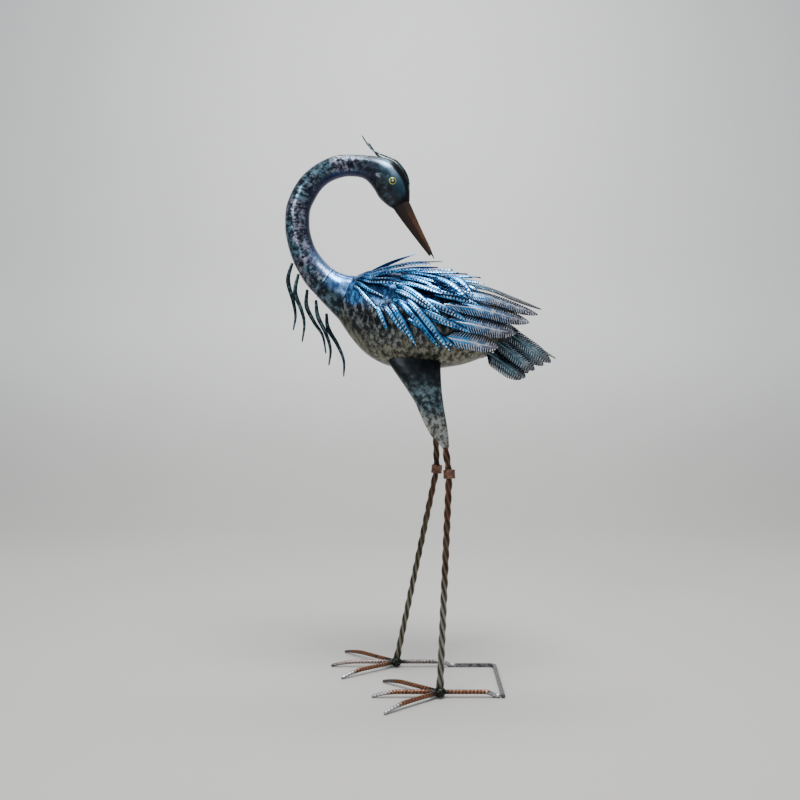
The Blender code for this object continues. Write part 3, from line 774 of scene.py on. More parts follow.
def make_plume(node, points, outward, width, look):
    """Thin pointed strip along free points, arched a little across."""
    def place(u, v):
        at = v * (len(points) - 1)
        centre = Vector(spline(points, at)) * MM
        ahead = Vector(spline(points, at + 0.05)) * MM
        behind = Vector(spline(points, at - 0.05)) * MM
        sideways = (ahead - behind).cross(outward).normalized()
        taper = (0.55 + 1.6 * v) if v < 0.28 else (1 - v) ** 0.6 * 1.2
        part = 2 * u - 1
        arch = outward * PLUME_ARCH * (1 - part**2)
        return centre + sideways * part * width / 2 * min(taper, 1.0) + arch

    bm = start_form()
    add_grid(bm, 6, 90, place)
    bmesh.ops.remove_doubles(bm, verts=bm.verts, dist=MERGE)
    face_outward(bm, outward)
    thicken(finish_piece(bm, node, look), PLUME_SHEET)


plume_look = plume_finish()
for side, sign in SIDES.items():
    crown_points = []
    for station, degrees, lift in CREST_CROWN:
        point = hollow_point(NECK_ROWS, station, sign * math.radians(degrees), lift * MM)
        crown_points.append(tuple(point / MM))
    path = crown_points + list(CREST_FREE_POINTS[side])
    make_plume("crest_plume_" + side, path, Vector((0.25, -sign, 0.45)).normalized(), CREST_WIDTH, plume_look)
for number, path in enumerate(BREAST_PLUMES, start=1):
    make_plume(f"breast_plume_{number}", path, Vector((0.0, -1.0, 0.0)), BREAST_PLUME_WIDTH, plume_look)
print("plumes", len(SIDES) + len(BREAST_PLUMES))

# %% [markdown]
# Each thigh is a sheet cone, flattened from front to back, whose top disappears in the flank. Its paint
# runs from near black at the top to dabbed silver where it meets the leg.

# %% Thighs
THIGH_ROWS = (
    (600, -18, 66, 20, 14),
    (575, -21, 69, 22, 17),
    (554, -20, 70, 26, 19),
    (539, -11, 69, 31, 19),
    (506, 12, 70, 41, 16),
    (477, 31, 73, 48.5, 13),
    (458, 40, 76, 52, 11),
    (431, 54, 80, 56, 9),
    (408, 68.5, 81.5, 59, 7.5),
)
LEG_POINTS = {
    "near": ((75, -59, 408), (81, -64, 364), (65, -75, 9.5)),
    "far": ((65.5, 59, 421), (67, 64, 365), (-7, 75, 9.5)),
}


def thigh_finish():
    """Near black to teal dabs to silver dabs, going down."""
    paint = Finish("thigh_paint")
    v = paint.sheet()[1]
    small = paint.mottle(120)
    fine = paint.mottle(280)
    large = paint.mottle(40, 2.0)
    mixed = small * 0.7 + fine * 0.3
    dabs = mixed.fade(0.42, 0.66)
    top = (dabs * 0.3).blend((0.009, 0.011, 0.013), (0.03, 0.05, 0.06))
    middle = dabs.blend((0.018, 0.026, 0.031), (0.16, 0.24, 0.27))
    bottom = mixed.fade(0.38, 0.6).blend((0.05, 0.053, 0.05), (0.34, 0.35, 0.32))
    down = v + (large - 0.5) * 0.18
    shade = down.fade(0.38, 0.58).blend(top, middle)
    shade = down.fade(0.62, 0.84).blend(shade, bottom)
    return paint.metal(shade, roughness=small.spread(0.28, 0.46), metallic=0.78, relief=(small, 0.25, 0.0006))


thigh_look = thigh_finish()
for side, sign in SIDES.items():
    foot = LEG_POINTS[side][0]
    high, low = THIGH_ROWS[0][0], THIGH_ROWS[-1][0]
    lean = foot[0] - (THIGH_ROWS[-1][1] + THIGH_ROWS[-1][2]) / 2

    def thigh_point(u, v, sign=sign, foot=foot, high=high, low=low, lean=lean):
        z, left, right, middle, half = spline(THIGH_ROWS, v * (len(THIGH_ROWS) - 1))
        turn = 2 * math.pi * u
        down = (high - z) / (high - low)
        x = (left + right) / 2 + lean * down**2 + (right - left) / 2 * math.cos(turn)
        y = -sign * (middle + half * math.sin(turn))
        point = Vector((x, y, high - (high - foot[2]) * down)) * MM
        return point + Vector((0.0, uneven(point, 60.0), 0.0))

    make_closed("thigh_" + side, 64, 90, thigh_point, thigh_look)
print("thighs made", len(SIDES))

# %% [markdown]
# The legs are square bar, twisted cold, so their corners wind round as four bright lines. Each flares
# into a lump of weld at the ankle. The map turns with the twist, so each corner can be rubbed bright,
# partly as a painted highlight.

# %% Twisted legs
BAR_WIDTH = 0.0095
TWIST_PITCH = 0.092
CORNER_ROUND = 0.11
CORNER_SPAN = 0.26
ANKLE_HEIGHT = 0.0095
ANKLE_RADIUS = 0.0100
FLOOR_GAP = 0.0010
FLARE = 0.30
FLARE_HEIGHT = 0.012
WELD_BUMPS = 0.09
WELD_BUMP_SCALE = 260
WELD_LIMIT = 1.05


def square_reach(turn):
    """Distance from the middle of a bar with round corners to its face, as a share of its corner."""
    quarter = (turn + math.pi / 4) % (math.pi / 2) - math.pi / 4
    sharp = math.cos(math.pi / 4) / math.cos(math.pi / 4 - abs(quarter))
    return sharp * (1 - CORNER_ROUND * math.exp(-(quarter / CORNER_SPAN) ** 2))


def leg_finish(name, top, middle, low):
    """Dark bar rubbed bright on its corners, partly as a painted highlight, in three tones from knee to foot.
    """
    paint = Finish(name)
    u, v = paint.sheet()
    turn = u * (8 * math.pi)
    corner = turn.calc("COSINE") * 0.5 + 0.5
    grit = paint.mottle(420, 4.0)
    wide = paint.mottle(60, 2.0)
    weld = paint.stored("tint")
    # Corners rubbed bright, partly as a painted highlight of the light they catch.
    rub_and_highlight = corner + (grit - 0.5) * 1.1
    rub_and_highlight = rub_and_highlight.fade(0.1, 0.9)
    bright = v.fade(0.26, 0.4).blend(top, middle)
    bright = v.fade(0.48, 0.66).blend(bright, low)
    dim = v.fade(0.35, 0.6).spread(0.5, 0.78).blend(bright, (0.0, 0.0, 0.0))
    dark = wide.fade(0.35, 0.6).blend((0.02, 0.018, 0.016), dim)
    shade = rub_and_highlight.blend(dark, bright)
    # Darker just above the collar and at the foot.
    above_collar = v.fade(0.07, 0.095) * v.fade(0.125, 0.11)
    foot = v.fade(0.955, 0.985) * 0.85
    darker_bands = (above_collar * 0.8).calc("MAXIMUM", foot)
    shade = darker_bands.blend(shade, (0.012, 0.012, 0.011))
    lump = grit.fade(0.52, 0.7).blend((0.01, 0.012, 0.01), (0.09, 0.1, 0.08))
    shade = weld.blend(shade, lump)
    return paint.metal(shade, roughness=grit.spread(0.26, 0.46), metallic=0.88, relief=(grit, 0.35, 0.0004))


def add_weld_lump(bm, ankle, seed):
    """Rough ball of weld round an ankle."""
    reach = (1.0, 1.0, (ANKLE_HEIGHT - FLOOR_GAP) / ANKLE_RADIUS)
    welded = bm.verts.layers.float["tint"]
    ball = bmesh.ops.create_uvsphere(bm, u_segments=32, v_segments=18, radius=ANKLE_RADIUS)["verts"]
    for corner in ball:
        bumpy = 1 + WELD_BUMPS * hills.noise(corner.co * WELD_BUMP_SCALE + Vector((seed, 0, 0)))
        bumpy = min(bumpy, WELD_LIMIT)
        corner[welded] = 1.0
        corner.co = Vector([value * share * bumpy for value, share in zip(corner.co, reach)]) + ankle


leg_looks = {
    "near": leg_finish("near_leg_paint", (0.13, 0.065, 0.040), (0.13, 0.09, 0.062), (0.23, 0.225, 0.190)),
    "far": leg_finish("far_leg_paint", (0.11, 0.065, 0.040), (0.115, 0.097, 0.065), (0.18, 0.17, 0.130)),
}
for side in SIDES:
    top, knee, ankle = (Vector(point) * MM for point in LEG_POINTS[side])

    def leg_point(u, v, top=top, knee=knee, ankle=ankle):
        z = top.z + (ankle.z - top.z) * v
        if z > knee.z:
            middle = knee.lerp(top, (z - knee.z) / (top.z - knee.z))
        else:
            middle = ankle.lerp(knee, (z - ankle.z) / (knee.z - ankle.z))
        reach = BAR_WIDTH / math.sqrt(2) * square_reach(2 * math.pi * u)
        reach *= 1 + FLARE * math.exp(-(z - ankle.z) / FLARE_HEIGHT)
        turn = 2 * math.pi * (u - z / TWIST_PITCH)
        return Vector((middle.x, middle.y, z)) + Vector((math.cos(turn), math.sin(turn), 0.0)) * reach

    leg_form = start_form()
    add_grid(leg_form, 32, 300, leg_point, tint=0.0)
    close_form(leg_form)
    add_weld_lump(leg_form, ankle, SIDES[side])
    finish_piece(leg_form, "leg_" + side, leg_looks[side])
print("legs", len(SIDES), "bar", BAR_WIDTH)

# %% [markdown]
# A copper band is slipped over each knee and pinched. It is a turned ring with rounded rims, a little
# out of true, as a hand-hammered band is.

# %% Knee collars
COLLAR_LENGTH = 0.015
COLLAR_WALL = 0.0022
COLLAR_PLAY = 0.0009
COLLAR_SQUARENESS = 0.35
COLLAR_RIM = 0.0004
COLLAR_DENT = 0.0003


def copper_finish():
    """Rubbed copper with dark dents."""
    paint = Finish("collar_copper")
    v = paint.sheet()[1]
    dents = paint.mottle(240, 4.0)
    shade = dents.fade(0.3, 0.7).blend((0.075, 0.036, 0.026), (0.28, 0.15, 0.105))
    rim = abs((v * (2 * math.pi)).calc("SINE"))
    shade = (rim.fade(0.93, 1.0) * 0.6).blend(shade, (0.45, 0.27, 0.19))
    return paint.metal(shade, roughness=dents.spread(0.28, 0.48), metallic=0.85, relief=(dents, 0.4, 0.0005))


collar_look = copper_finish()
collar_inner = BAR_WIDTH / math.sqrt(2) + COLLAR_PLAY
for side in SIDES:
    top, knee, ankle = (Vector(point) * MM for point in LEG_POINTS[side])
    axis = ((top - knee).normalized() + (knee - ankle).normalized()).normalized()
    tilt = Vector((0, 0, 1)).rotation_difference(axis).to_matrix()

    def collar_point(u, v, knee=knee, tilt=tilt):
        around = 2 * math.pi * v
        section_x = math.copysign(abs(math.cos(around)) ** COLLAR_SQUARENESS, math.cos(around))
        section_z = math.copysign(abs(math.sin(around)) ** COLLAR_SQUARENESS, math.sin(around))
        turn = 2 * math.pi * u
        radius = collar_inner + COLLAR_WALL / 2 + COLLAR_WALL / 2 * section_x
        rim = COLLAR_RIM * abs(section_z) ** 6
        dent = COLLAR_DENT * hills.noise(Vector((math.cos(turn), math.sin(turn), section_z)) * 2.5 + knee * 30)
        local = Vector((math.cos(turn), math.sin(turn), 0.0)) * (radius + rim + dent)
        local.z = COLLAR_LENGTH / 2 * section_z
        return knee + tilt @ local

    make_closed("knee_collar_" + side, 48, 28, collar_point, collar_look)
print("collars", len(SIDES))

# %% [markdown]
# Toes and heel rods are thinner bar, twisted and hammered, so that light and dark notches wind along
# them. Each toe dips to the floor at its claw, and each heel rod dips where it meets the rear bar.

# %% Toes, heel rods and rear bar
TOE_RADIUS = 0.0040
TOE_START = 0.05
HEEL_START = 0.04
ROD_ROW = 0.00105
CLAW_RADIUS = 0.0024
ROD_FLAT = math.cos(math.pi / 6)
CLAW_START = 0.62
CLAW_BEND = 1.6
HEEL_DIP_START = 0.75
HEEL_DIP_LENGTH = 0.2
NOTCH_PITCH = 0.0062
NOTCH_DEPTH = 0.13
REAR_CORNER_RADIUS = 0.010
REAR_BAR_START = 102
REAR_CORNER_NEAR = (168, -75)
REAR_CORNER_FAR = (173, 75)
TOE_TIPS = {
    "near": {"front_toe": (-47, -75), "inner_toe": (-30, -5), "outer_toe": (-25, -146)},
    "far": {"front_toe": (-127, 75), "inner_toe": (-103, 9), "outer_toe": (-108, 158)},
}


def rod_finish(name, root, middle, tip, change, notches):
    """Rod in three tones along its length, with dark notches winding round it and painted shade underneath."""
    paint = Finish(name)
    u, v = paint.sheet()
    length = paint.stored("along")
    grit = paint.mottle(380, 4.0)
    wide = paint.mottle(90, 2.0)
    winding = u * 2.0 - v
    wave = (winding * (2 * math.pi)).calc("COSINE")
    wave = wave + (grit - 0.5) * 2.2
    valley = wave.fade(-0.1, -1.0) * notches
    shade = length.fade(0.05, 0.22).blend(root, middle)
    turn_to_tip = length + (wide - 0.5) * 0.3
    claw = turn_to_tip.fade(change, change + 0.16)
    shade = claw.blend(shade, tip)
    scorch = wide.fade(0.42, 0.28) * 0.75
    shade = scorch.blend(shade, (0.03, 0.025, 0.022))
    valley = valley * claw.spread(1.0, 0.45)
    shade = valley.blend(shade, (0.016, 0.014, 0.012))
    # Painted shade: the underside, toward the floor, is darkened.
    below = abs(u - 0.75).fade(0.26, 0.14)
    shade = (below * 0.8).blend(shade, (0.016, 0.014, 0.012))
    return paint.metal(shade, roughness=grit.spread(0.18, 0.38), metallic=0.85, relief=(grit, 0.3, 0.0004))


def make_rod(node, middle_of, radius_of, length, look):
    """Notched rod along a path, its ends rounded over."""
    up = Vector((0.0, 0.0, 1.0))
    turns = length / NOTCH_PITCH

    def place(u, v):
        centre = middle_of(v)
        ahead = middle_of(min(v + 0.01, 1.0)) - middle_of(max(v - 0.01, 0.0))
        side = ahead.cross(up).normalized()
        rise = side.cross(ahead).normalized()
        angle = 2 * math.pi * u
        wave = math.cos(2 * angle - 2 * math.pi * v * turns)
        smooth = 1 - 0.5 * min(max((v - 0.6) / 0.3, 0.0), 1.0)
        beaten = 0.05 * hills.noise(centre * 150)
        end = min(v, 1 - v) * length / (TOE_RADIUS * 0.8)
        round_end = math.sqrt(max(1 - (1 - min(end, 1.0)) ** 2, 0.0)) if v > 0.5 else 1.0
        notched = 1 + NOTCH_DEPTH * smooth * (wave - 1) * 0.5 - abs(beaten)
        reach = radius_of(v) * notched * max(round_end, 0.02)
        flat = max(-math.sin(angle), 0.0) ** 6 * (1 - ROD_FLAT)
        return centre + (side * math.cos(angle) + rise * math.sin(angle) * (1 - flat)) * reach

    make_closed(node, 20, max(int(length / ROD_ROW), 20), place, look, turns)


COPPER = (0.24, 0.105, 0.055)
ROSE = (0.34, 0.27, 0.25)
SILVER = (0.46, 0.46, 0.48)
IRON = (0.12, 0.11, 0.11)
DARK = (0.025, 0.023, 0.022)
toe_looks = {
    "near_front_toe": rod_finish("near_front_toe_paint", DARK, COPPER, SILVER, 0.63, 0.9),
    "near_inner_toe": rod_finish("near_inner_toe_paint", DARK, COPPER, IRON, 0.70, 1.0),
    "near_outer_toe": rod_finish("near_outer_toe_paint", DARK, COPPER, SILVER, 0.65, 0.8),
    "far_front_toe": rod_finish("far_front_toe_paint", DARK, ROSE, IRON, 0.80, 0.45),
    "far_inner_toe": rod_finish("far_inner_toe_paint", DARK, COPPER, SILVER, 0.68, 0.7),
    "far_outer_toe": rod_finish("far_outer_toe_paint", DARK, COPPER, IRON, 0.78, 0.7),
}
for side in SIDES:
    ankle = Vector(LEG_POINTS[side][2]) * MM
    for toe, (tip_x, tip_y) in TOE_TIPS[side].items():
        claw = Vector((tip_x * MM, tip_y * MM, CLAW_RADIUS * ROD_FLAT))

        def toe_drop(v):
            share = TOE_START + (1 - TOE_START) * v
            return share, max((share - CLAW_START) / (1 - CLAW_START), 0.0) ** CLAW_BEND

        def toe_middle(v, ankle=ankle, claw=claw):
            share, drop = toe_drop(v)
            point = ankle.lerp(claw, share)
            point.z = ANKLE_HEIGHT + (claw.z - ANKLE_HEIGHT) * drop
            return point

        def toe_radius(v):
            drop = toe_drop(v)[1]
            return TOE_RADIUS + (CLAW_RADIUS - TOE_RADIUS) * drop

        node = f"{side}_{toe}"
        make_rod(node, toe_middle, toe_radius, (claw - ankle).length, toe_looks[node])

floor_level = REAR_BAR_WIDTH / 2
near_end = Vector((REAR_CORNER_NEAR[0] * MM, REAR_CORNER_NEAR[1] * MM, floor_level))
far_end = Vector((REAR_CORNER_FAR[0] * MM, REAR_CORNER_FAR[1] * MM, floor_level))
bar_start = Vector((REAR_BAR_START * MM, far_end.y, floor_level))
heel_ends = {
    "near": near_end - Vector((REAR_BAR_WIDTH / 2 + WELD_GAP, 0, 0)),
    "far": bar_start - Vector((WELD_GAP, 0, 0)),
}
heel_looks = {
    "near": rod_finish("near_heel_paint", DARK, COPPER, SILVER, 0.70, 0.9),
    "far": rod_finish(
        "far_heel_paint", (0.03, 0.03, 0.03), (0.20, 0.17, 0.16), (0.42, 0.41, 0.41), 0.62, 0.5
    ),
}
for side, end in heel_ends.items():
    ankle = Vector(LEG_POINTS[side][2]) * MM

    def heel_middle(v, ankle=ankle, end=end):
        share = HEEL_START + (1 - HEEL_START) * v
        point = ankle.lerp(end, share)
        ease = min(max((share - HEEL_DIP_START) / HEEL_DIP_LENGTH, 0.0), 1.0)
        point.z = ANKLE_HEIGHT + (end.z - ANKLE_HEIGHT) * (3 * ease**2 - 2 * ease**3)
        return point

    def heel_radius(v):
        return TOE_RADIUS + (floor_level / ROD_FLAT - TOE_RADIUS) * max(v - 0.75, 0.0) * 4

    make_rod("heel_rod_" + side, heel_middle, heel_radius, (end - ankle).length, heel_looks[side])


def steel_finish():
    """Smooth grey steel with a purple cast, mottled lighter and darker."""
    paint = Finish("rear_bar_steel")
    grain = paint.mottle(160, 5.0)
    fine = paint.mottle(700, 2.0)
    shade = grain.fade(0.38, 0.64).blend((0.075, 0.07, 0.078), (0.21, 0.2, 0.215))
    return paint.metal(shade, roughness=grain.spread(0.28, 0.46), metallic=0.85, relief=(fine, 0.2, 0.0002))


bar_bend = far_end - Vector((REAR_CORNER_RADIUS, REAR_CORNER_RADIUS, 0.0))
bar_end = near_end - Vector((0.0, REAR_BAR_WIDTH / 2, 0.0))
bar_path = [bar_start, bar_start.lerp(bar_bend + Vector((0.0, REAR_CORNER_RADIUS, 0.0)), 0.5)]
for step in range(9):
    turn = math.radians(90 - 90 * step / 8)
    bar_path.append(bar_bend + Vector((math.cos(turn), math.sin(turn), 0.0)) * REAR_CORNER_RADIUS)
bar_path.append(bar_path[-1].lerp(bar_end, 0.5))
bar_path.append(bar_end)
bar_points = [tuple(point) for point in bar_path]


def bar_point(u, v):
    """Square bar with round corners along its bent path."""
    at = v * (len(bar_points) - 1)
    centre = Vector(spline(bar_points, at))
    ahead = Vector(spline(bar_points, at + 0.1)) - Vector(spline(bar_points, at - 0.1))
    side = ahead.cross(Vector((0.0, 0.0, 1.0))).normalized()
    angle = 2 * math.pi * u
    reach = REAR_BAR_WIDTH / math.sqrt(2) * square_reach(angle - math.pi / 4)
    return centre + (side * math.cos(angle) + Vector((0.0, 0.0, 1.0)) * math.sin(angle)) * reach


make_closed("rear_bar", 32, 96, bar_point, steel_finish())
print("foot pieces", len(toe_looks) + len(heel_looks) + 1)

# %% [markdown]
# The wing strips are narrow and crimped: each is pressed over a ribbed tool, so it has an arched back
# and a row of small slanted ridges beside its middle. Where the blue is rubbed, they show white glints,
# painted in as highlights, and their edges, roots and valleys carry painted shade.
# The strips are laid in fans that wrap the body, and each fan lifts a little further off it.

# %% Wing rows and fans
WING_ROWS = BODY_ROWS[:6] + (
    (112, 692, 110, 546, 72),
    (150, 684, 150, 548, 66),
    (190, 668, 186, 556, 57),
    (230, 651, 224, 563, 47),
    (268, 634, 262, 572, 36),
)
STATION_LENGTH = 0.040
ROOT_LIFT = 0.0009
STRIP_WIDTH = 0.0120
STRIP_STAGGER = 0.13
STRIP_BOW = 1.3
STRIP_ARCH = 0.0028
STRIP_SHEET = 0.0008
CRIMP_PITCH = 0.0050
CRIMP_HEIGHT = 0.0008
CRIMP_ROWS = 4
CRIMP_SLANT = 0.0035
BETWEEN_LIFT = 0.0016
HOOKED_STRIPS = (
    ((4.8, 47), (5.9, 76)),
    ((5.25, 44), (6.25, 74)),
)
HOOKED_LIFT = 0.0055
HOOKED_BOW = 1.9
FANS = (
    ("secondary_coverts", 7, (4.9, 16), (4.5, 104), (6.8, 30), (5.8, 124), 4.5, 0.0055, 0.0, 0.5),
    ("upper_coverts", 7, (4.2, 13), (3.8, 94), (6.3, 20), (5.4, 118), 3.8, 0.0060, 0.0, 0.5),
    ("scapulars", 6, (3.5, 12), (3.1, 72), (5.7, 18), (4.9, 102), 3.1, 0.0066, 0.0, 0.8),
    ("shoulder_strips", 5, (3.7, 75), (2.3, 84), (5.6, 122), (3.2, 112), 2.3, 0.0070, 0.0026, 0.0),
    ("mantle_strips", 6, (0.5, 14), (0.45, 62), (5.4, 14), (2.5, 88), 1.9, 0.0080, 0.0026, 0.6),
    ("back_plume", 1, (0.8, 0), (0.8, 0), (4.4, 0), (4.4, 0), 1.7, 0.0125, 0.0050, 0.0),
)


def wing_point(station, turn, sideways, heading, lift, sign):
    """Point on the wing's wrap, moved square to a heading by a distance along its surface."""
    radius = 0.5 * (hollow_point(WING_ROWS, station, 0.0) - hollow_point(WING_ROWS, station, math.pi)).length
    ahead = Vector((heading[0] * STATION_LENGTH, heading[1] * radius)).normalized()
    station = station - ahead.y * sideways / STATION_LENGTH
    turn = turn + ahead.x * sideways / (radius + lift)
    return hollow_point(WING_ROWS, station, sign * turn, lift)


def strip_profile(s):
    """Half width share of a strip from its root to its pointed tip."""
    if s < 0.3:
        return 0.55 + 0.45 * s / 0.3
    return 1 - ((s - 0.3) / 0.7) ** 3


def strip_finish():
    """Azure metallic with a painted highlight along its back, and painted shade at its edges, root and
    valleys and on the topmost strips. A row of white glints on the crimps beside its middle is rubbed
    paint and painted highlight together.
    """
    paint = Finish("strip_blue")
    u, v = paint.sheet()
    length = paint.stored("along")
    tint = paint.stored("tint")
    phase = v.calc("FRACT")
    crest = abs(phase * 2.0 - 1.0)
    grit = paint.mottle(330)
    cloud = paint.mottle(60, 2.0)
    worn = paint.mottle(34, 2.0)
    deep = tint.blend((0.008, 0.06, 0.21), (0.012, 0.125, 0.4))
    bright = tint.blend((0.03, 0.3, 0.74), (0.1, 0.5, 1.0))
    shade = cloud.fade(0.38, 0.56).blend(deep, bright)
    # Painted highlight: a light blue band along the arched back.
    spine_highlight = u.fade(0.3, 0.4) * u.fade(0.56, 0.46)
    spine_highlight = spine_highlight * grit.fade(0.3, 0.5)
    shade = (spine_highlight * 0.45).blend(shade, (0.2, 0.62, 1.0))
    # Painted shade: navy along both edges, where the strips overlap.
    shade = u.fade(0.28, 0.05).blend(shade, (0.003, 0.012, 0.034))
    shade = u.fade(0.86, 0.98).blend(shade, (0.003, 0.012, 0.034))
    # Painted shade: the root, tucked under the strips above, turns navy.
    shade = length.fade(0.09, 0.02).blend(shade, (0.003, 0.012, 0.034))
    height = paint.height()
    # Painted shade: the topmost strips, under the overhead light, are toned darker.
    shade = height.fade(0.665, 0.7).spread(0.0, 0.28).blend(shade, (0.004, 0.03, 0.11))
    down = length.fade(0.1, 0.75)
    ribbed = u.fade(0.44, 0.54) * u.fade(0.88, 0.78)
    # Painted shade in the crimp valleys.
    valley = crest.fade(0.62, 0.15) * down.spread(0.3, 0.95)
    shade = (valley * ribbed).blend(shade, (0.004, 0.02, 0.06))
    # White glints on the crimp crests beside the middle: rubbed paint and painted highlight together.
    rub_and_highlight = crest.fade(0.5, 0.78) * grit.fade(0.32, 0.5)
    rub_and_highlight = rub_and_highlight * ribbed
    wear_and_glint = worn + down * 0.16
    wear_and_glint = wear_and_glint + tint * 0.14
    wear_and_glint = wear_and_glint + height.fade(0.695, 0.655).spread(-0.13, 0.04)
    rub_and_highlight = rub_and_highlight * wear_and_glint.fade(0.58, 0.72)
    shade = rub_and_highlight.blend(shade, (0.82, 0.93, 1.0))
    return paint.metal(shade, roughness=grit.spread(0.18, 0.34), metallic=0.9, relief=(grit, 0.25, 0.0003))


strip_look = strip_finish()


def add_strip(bm, root, tip, rest, rise, roll, extra, bow, sign, chance):
    """One crimped strip of a fan, with a little of the hand in its bend and twist."""
    tip = (tip[0] + chance.uniform(-0.14, 0.08), tip[1] + chance.uniform(-3.0, 3.0))
    lean = chance.uniform(-0.0014, 0.0014)
    curl = chance.uniform(0.0, 0.0020)
    crimp = CRIMP_HEIGHT * chance.uniform(0.35, 1.0)
    middle = hollow_point(WING_ROWS, (root[0] + tip[0]) / 2, math.radians((root[1] + tip[1]) / 2))
    ends = [hollow_point(WING_ROWS, end[0], math.radians(end[1])) for end in (root, tip)]
    length = (middle - ends[0]).length + (ends[1] - middle).length
    crimps = max(round(length / CRIMP_PITCH), 6)

    def place(u, v):
        part = 2 * u - 1
        s = min(v + CRIMP_SLANT / length * abs(part) * (1 - v), 1.0)
        station = root[0] + (tip[0] - root[0]) * s
        turn = math.radians(root[1] + (tip[1] - root[1]) * s**bow)
        slope = math.radians(tip[1] - root[1]) * bow * max(s, 0.05) ** (bow - 1)
        heading = (tip[0] - root[0], slope)
        wave = 0.5 + 0.5 * math.cos(2 * math.pi * v * crimps)
        lift = ROOT_LIFT + rise * max(station - rest, 0.0)
        lift += (roll * (1 + part * strip_profile(s)) / 2 + extra) * min(s * 5, 1.0)
        lift += STRIP_ARCH * (1 - part**2) * min(s * 5, 1.0) * (1 - 0.5 * s) * strip_profile(s)
        ribbed = 0.2 + 0.8 * min(max(part + 0.2, 0.0) / 0.5, 1.0)
        lift += crimp * wave * ribbed * (0.35 + 0.65 * s) + lean * part * s + curl * s**3
        width = STRIP_WIDTH / 2 * strip_profile(s) * (0.93 + 0.07 * wave)
        return wing_point(station, turn, part * width, heading, lift, sign)

    add_grid(bm, 6, crimps * CRIMP_ROWS, place, rows_to_map=crimps, tint=chance.random())


strip_count = 0
for fan_name, strips, first_root, last_root, first_tip, last_tip, rest, rise, roll, doubled in FANS:
    for side, sign in SIDES.items() if strips > 1 else [("", 1)]:
        node = f"{fan_name}_{side}".rstrip("_")
        chance = random.Random(node)
        fan_form = start_form()
        for half_step in range(0, 2 * strips - 1):
            number = half_step // 2
            between = half_step % 2
            share = half_step / 2 / max(strips - 1, 1)
            if between and share > doubled:
                continue
            root = [a + (b - a) * share for a, b in zip(first_root, last_root)]
            tip = [a + (b - a) * share for a, b in zip(first_tip, last_tip)]
            root[0] += between * chance.uniform(0.0, 0.25)
            tip[0] += STRIP_STAGGER * (1 if number % 2 else -1) - between * chance.uniform(0.2, 0.8)
            tip[1] += between * chance.uniform(-6, 12)
            extra = between * BETWEEN_LIFT
            add_strip(fan_form, root, tip, rest, rise, roll, extra, STRIP_BOW, sign, chance)
            strip_count += 1
        for root, tip in HOOKED_STRIPS if fan_name == "scapulars" else ():
            add_strip(fan_form, root, tip, rest, rise, roll, HOOKED_LIFT, HOOKED_BOW, sign, chance)
            strip_count += 1
        bmesh.ops.remove_doubles(fan_form, verts=fan_form.verts, dist=MERGE)
        face_outward(fan_form, Vector((0.0, -sign, 0.6)))
        thicken(finish_piece(fan_form, node, strip_look), STRIP_SHEET)
print("strips", strip_count)

# %% [markdown]
# The flight feathers of wing and tail are broad blades. Slanted slits part their barbs from the edge
# about halfway in, and less far on the tail and the top primary. The shaft is a half round rib. The
# grid's rows run along the barbs, so a slit is simply a thin row of faces taken out.

# %% Flight feather helpers
BLADE_COLUMNS = 14
BARB_PITCH = 0.0046
BARB_SLANT = 0.012
BARB_PHASES = (0.0, 0.40, 0.82)
SLIT_INNER = 0.45
SHORT_SLIT_INNER = 0.70
SLIT_START = 0.10
SLIT_END = 0.84
BLADE_SHEET = 0.0008
SHAFT_RADIUS = 0.0017
SHAFT_TAPER = 0.6
SHAFT_LIFT = 0.0002
PRIMARY_SHAFT = 0.88
TAIL_SHAFT = 0.85


def blade_profile(s):
    """Half width share of a broad feather."""
    swell = min(0.42 + 2.4 * s, 1.0)
    tip = (1 - max((s - 0.64) / 0.36, 0.0) ** 1.8) ** 0.7
    return max(swell * tip, 0.05)


def flight_finish(name, root_colour, middle_colour, tip_colour, shaft_colour, shine):
    """Blue at the root, pewter at the tip, with worn patches and its own shaft. The worn patches, the lines
    beside the slits and the bright shaft carry painted highlights; painted shade lies in the slits, along
    the outline and on the edge under the next feather.
    """
    paint = Finish(name)
    u, v = paint.sheet()
    length = paint.stored("along")
    tint = paint.stored("tint")
    phase = v.calc("FRACT")
    grit = paint.mottle(360)
    cloud = paint.mottle(65, 2.0)
    reach = length + (cloud - 0.5) * 0.25
    shade = reach.fade(0.26, 0.6).blend(root_colour, middle_colour)
    shade = reach.fade(0.58, 0.88).blend(shade, tip_colour)
    edge = abs(u * 2.0 - 1.0)
    # Worn patches rubbed bright, partly as painted highlights.
    patch = paint.mottle(90)
    rub_and_highlight = patch.fade(0.46, 0.62) * grit.fade(0.34, 0.54)
    rub_and_highlight = rub_and_highlight * length.fade(0.15, 0.6).spread(0.1, shine)
    shade = (rub_and_highlight * 0.85).blend(shade, (0.72, 0.74, 0.82))
    # Painted highlight: a thin bright line beside each slit on the outer half.
    barb = phase.fade(0.4, 0.54) * edge.fade(0.26, 0.5)
    barb = barb * grit.fade(0.36, 0.52)
    shade = (barb * shine).blend(shade, (0.8, 0.82, 0.88))
    # Painted shade in the slits.
    dark = phase.fade(0.42, 0.18) * edge.fade(0.12, 0.45)
    shade = dark.blend(shade, (0.005, 0.008, 0.016))
    # Painted shadow along the edge that lies under the next feather.
    overlap_shadow = u.fade(0.36, 0.06) * 0.65
    shade = overlap_shadow.blend(shade, (0.004, 0.007, 0.013))
    # Painted shade along the outline, where the feathers overlap.
    shade = edge.fade(0.9, 1.0).blend(shade, (0.006, 0.01, 0.018))
    shade = tint.fade(0.9, 0.99).blend(shade, shaft_colour)
    return paint.metal(shade, roughness=grit.spread(0.2, 0.36), metallic=0.9, relief=(grit, 0.3, 0.0003))


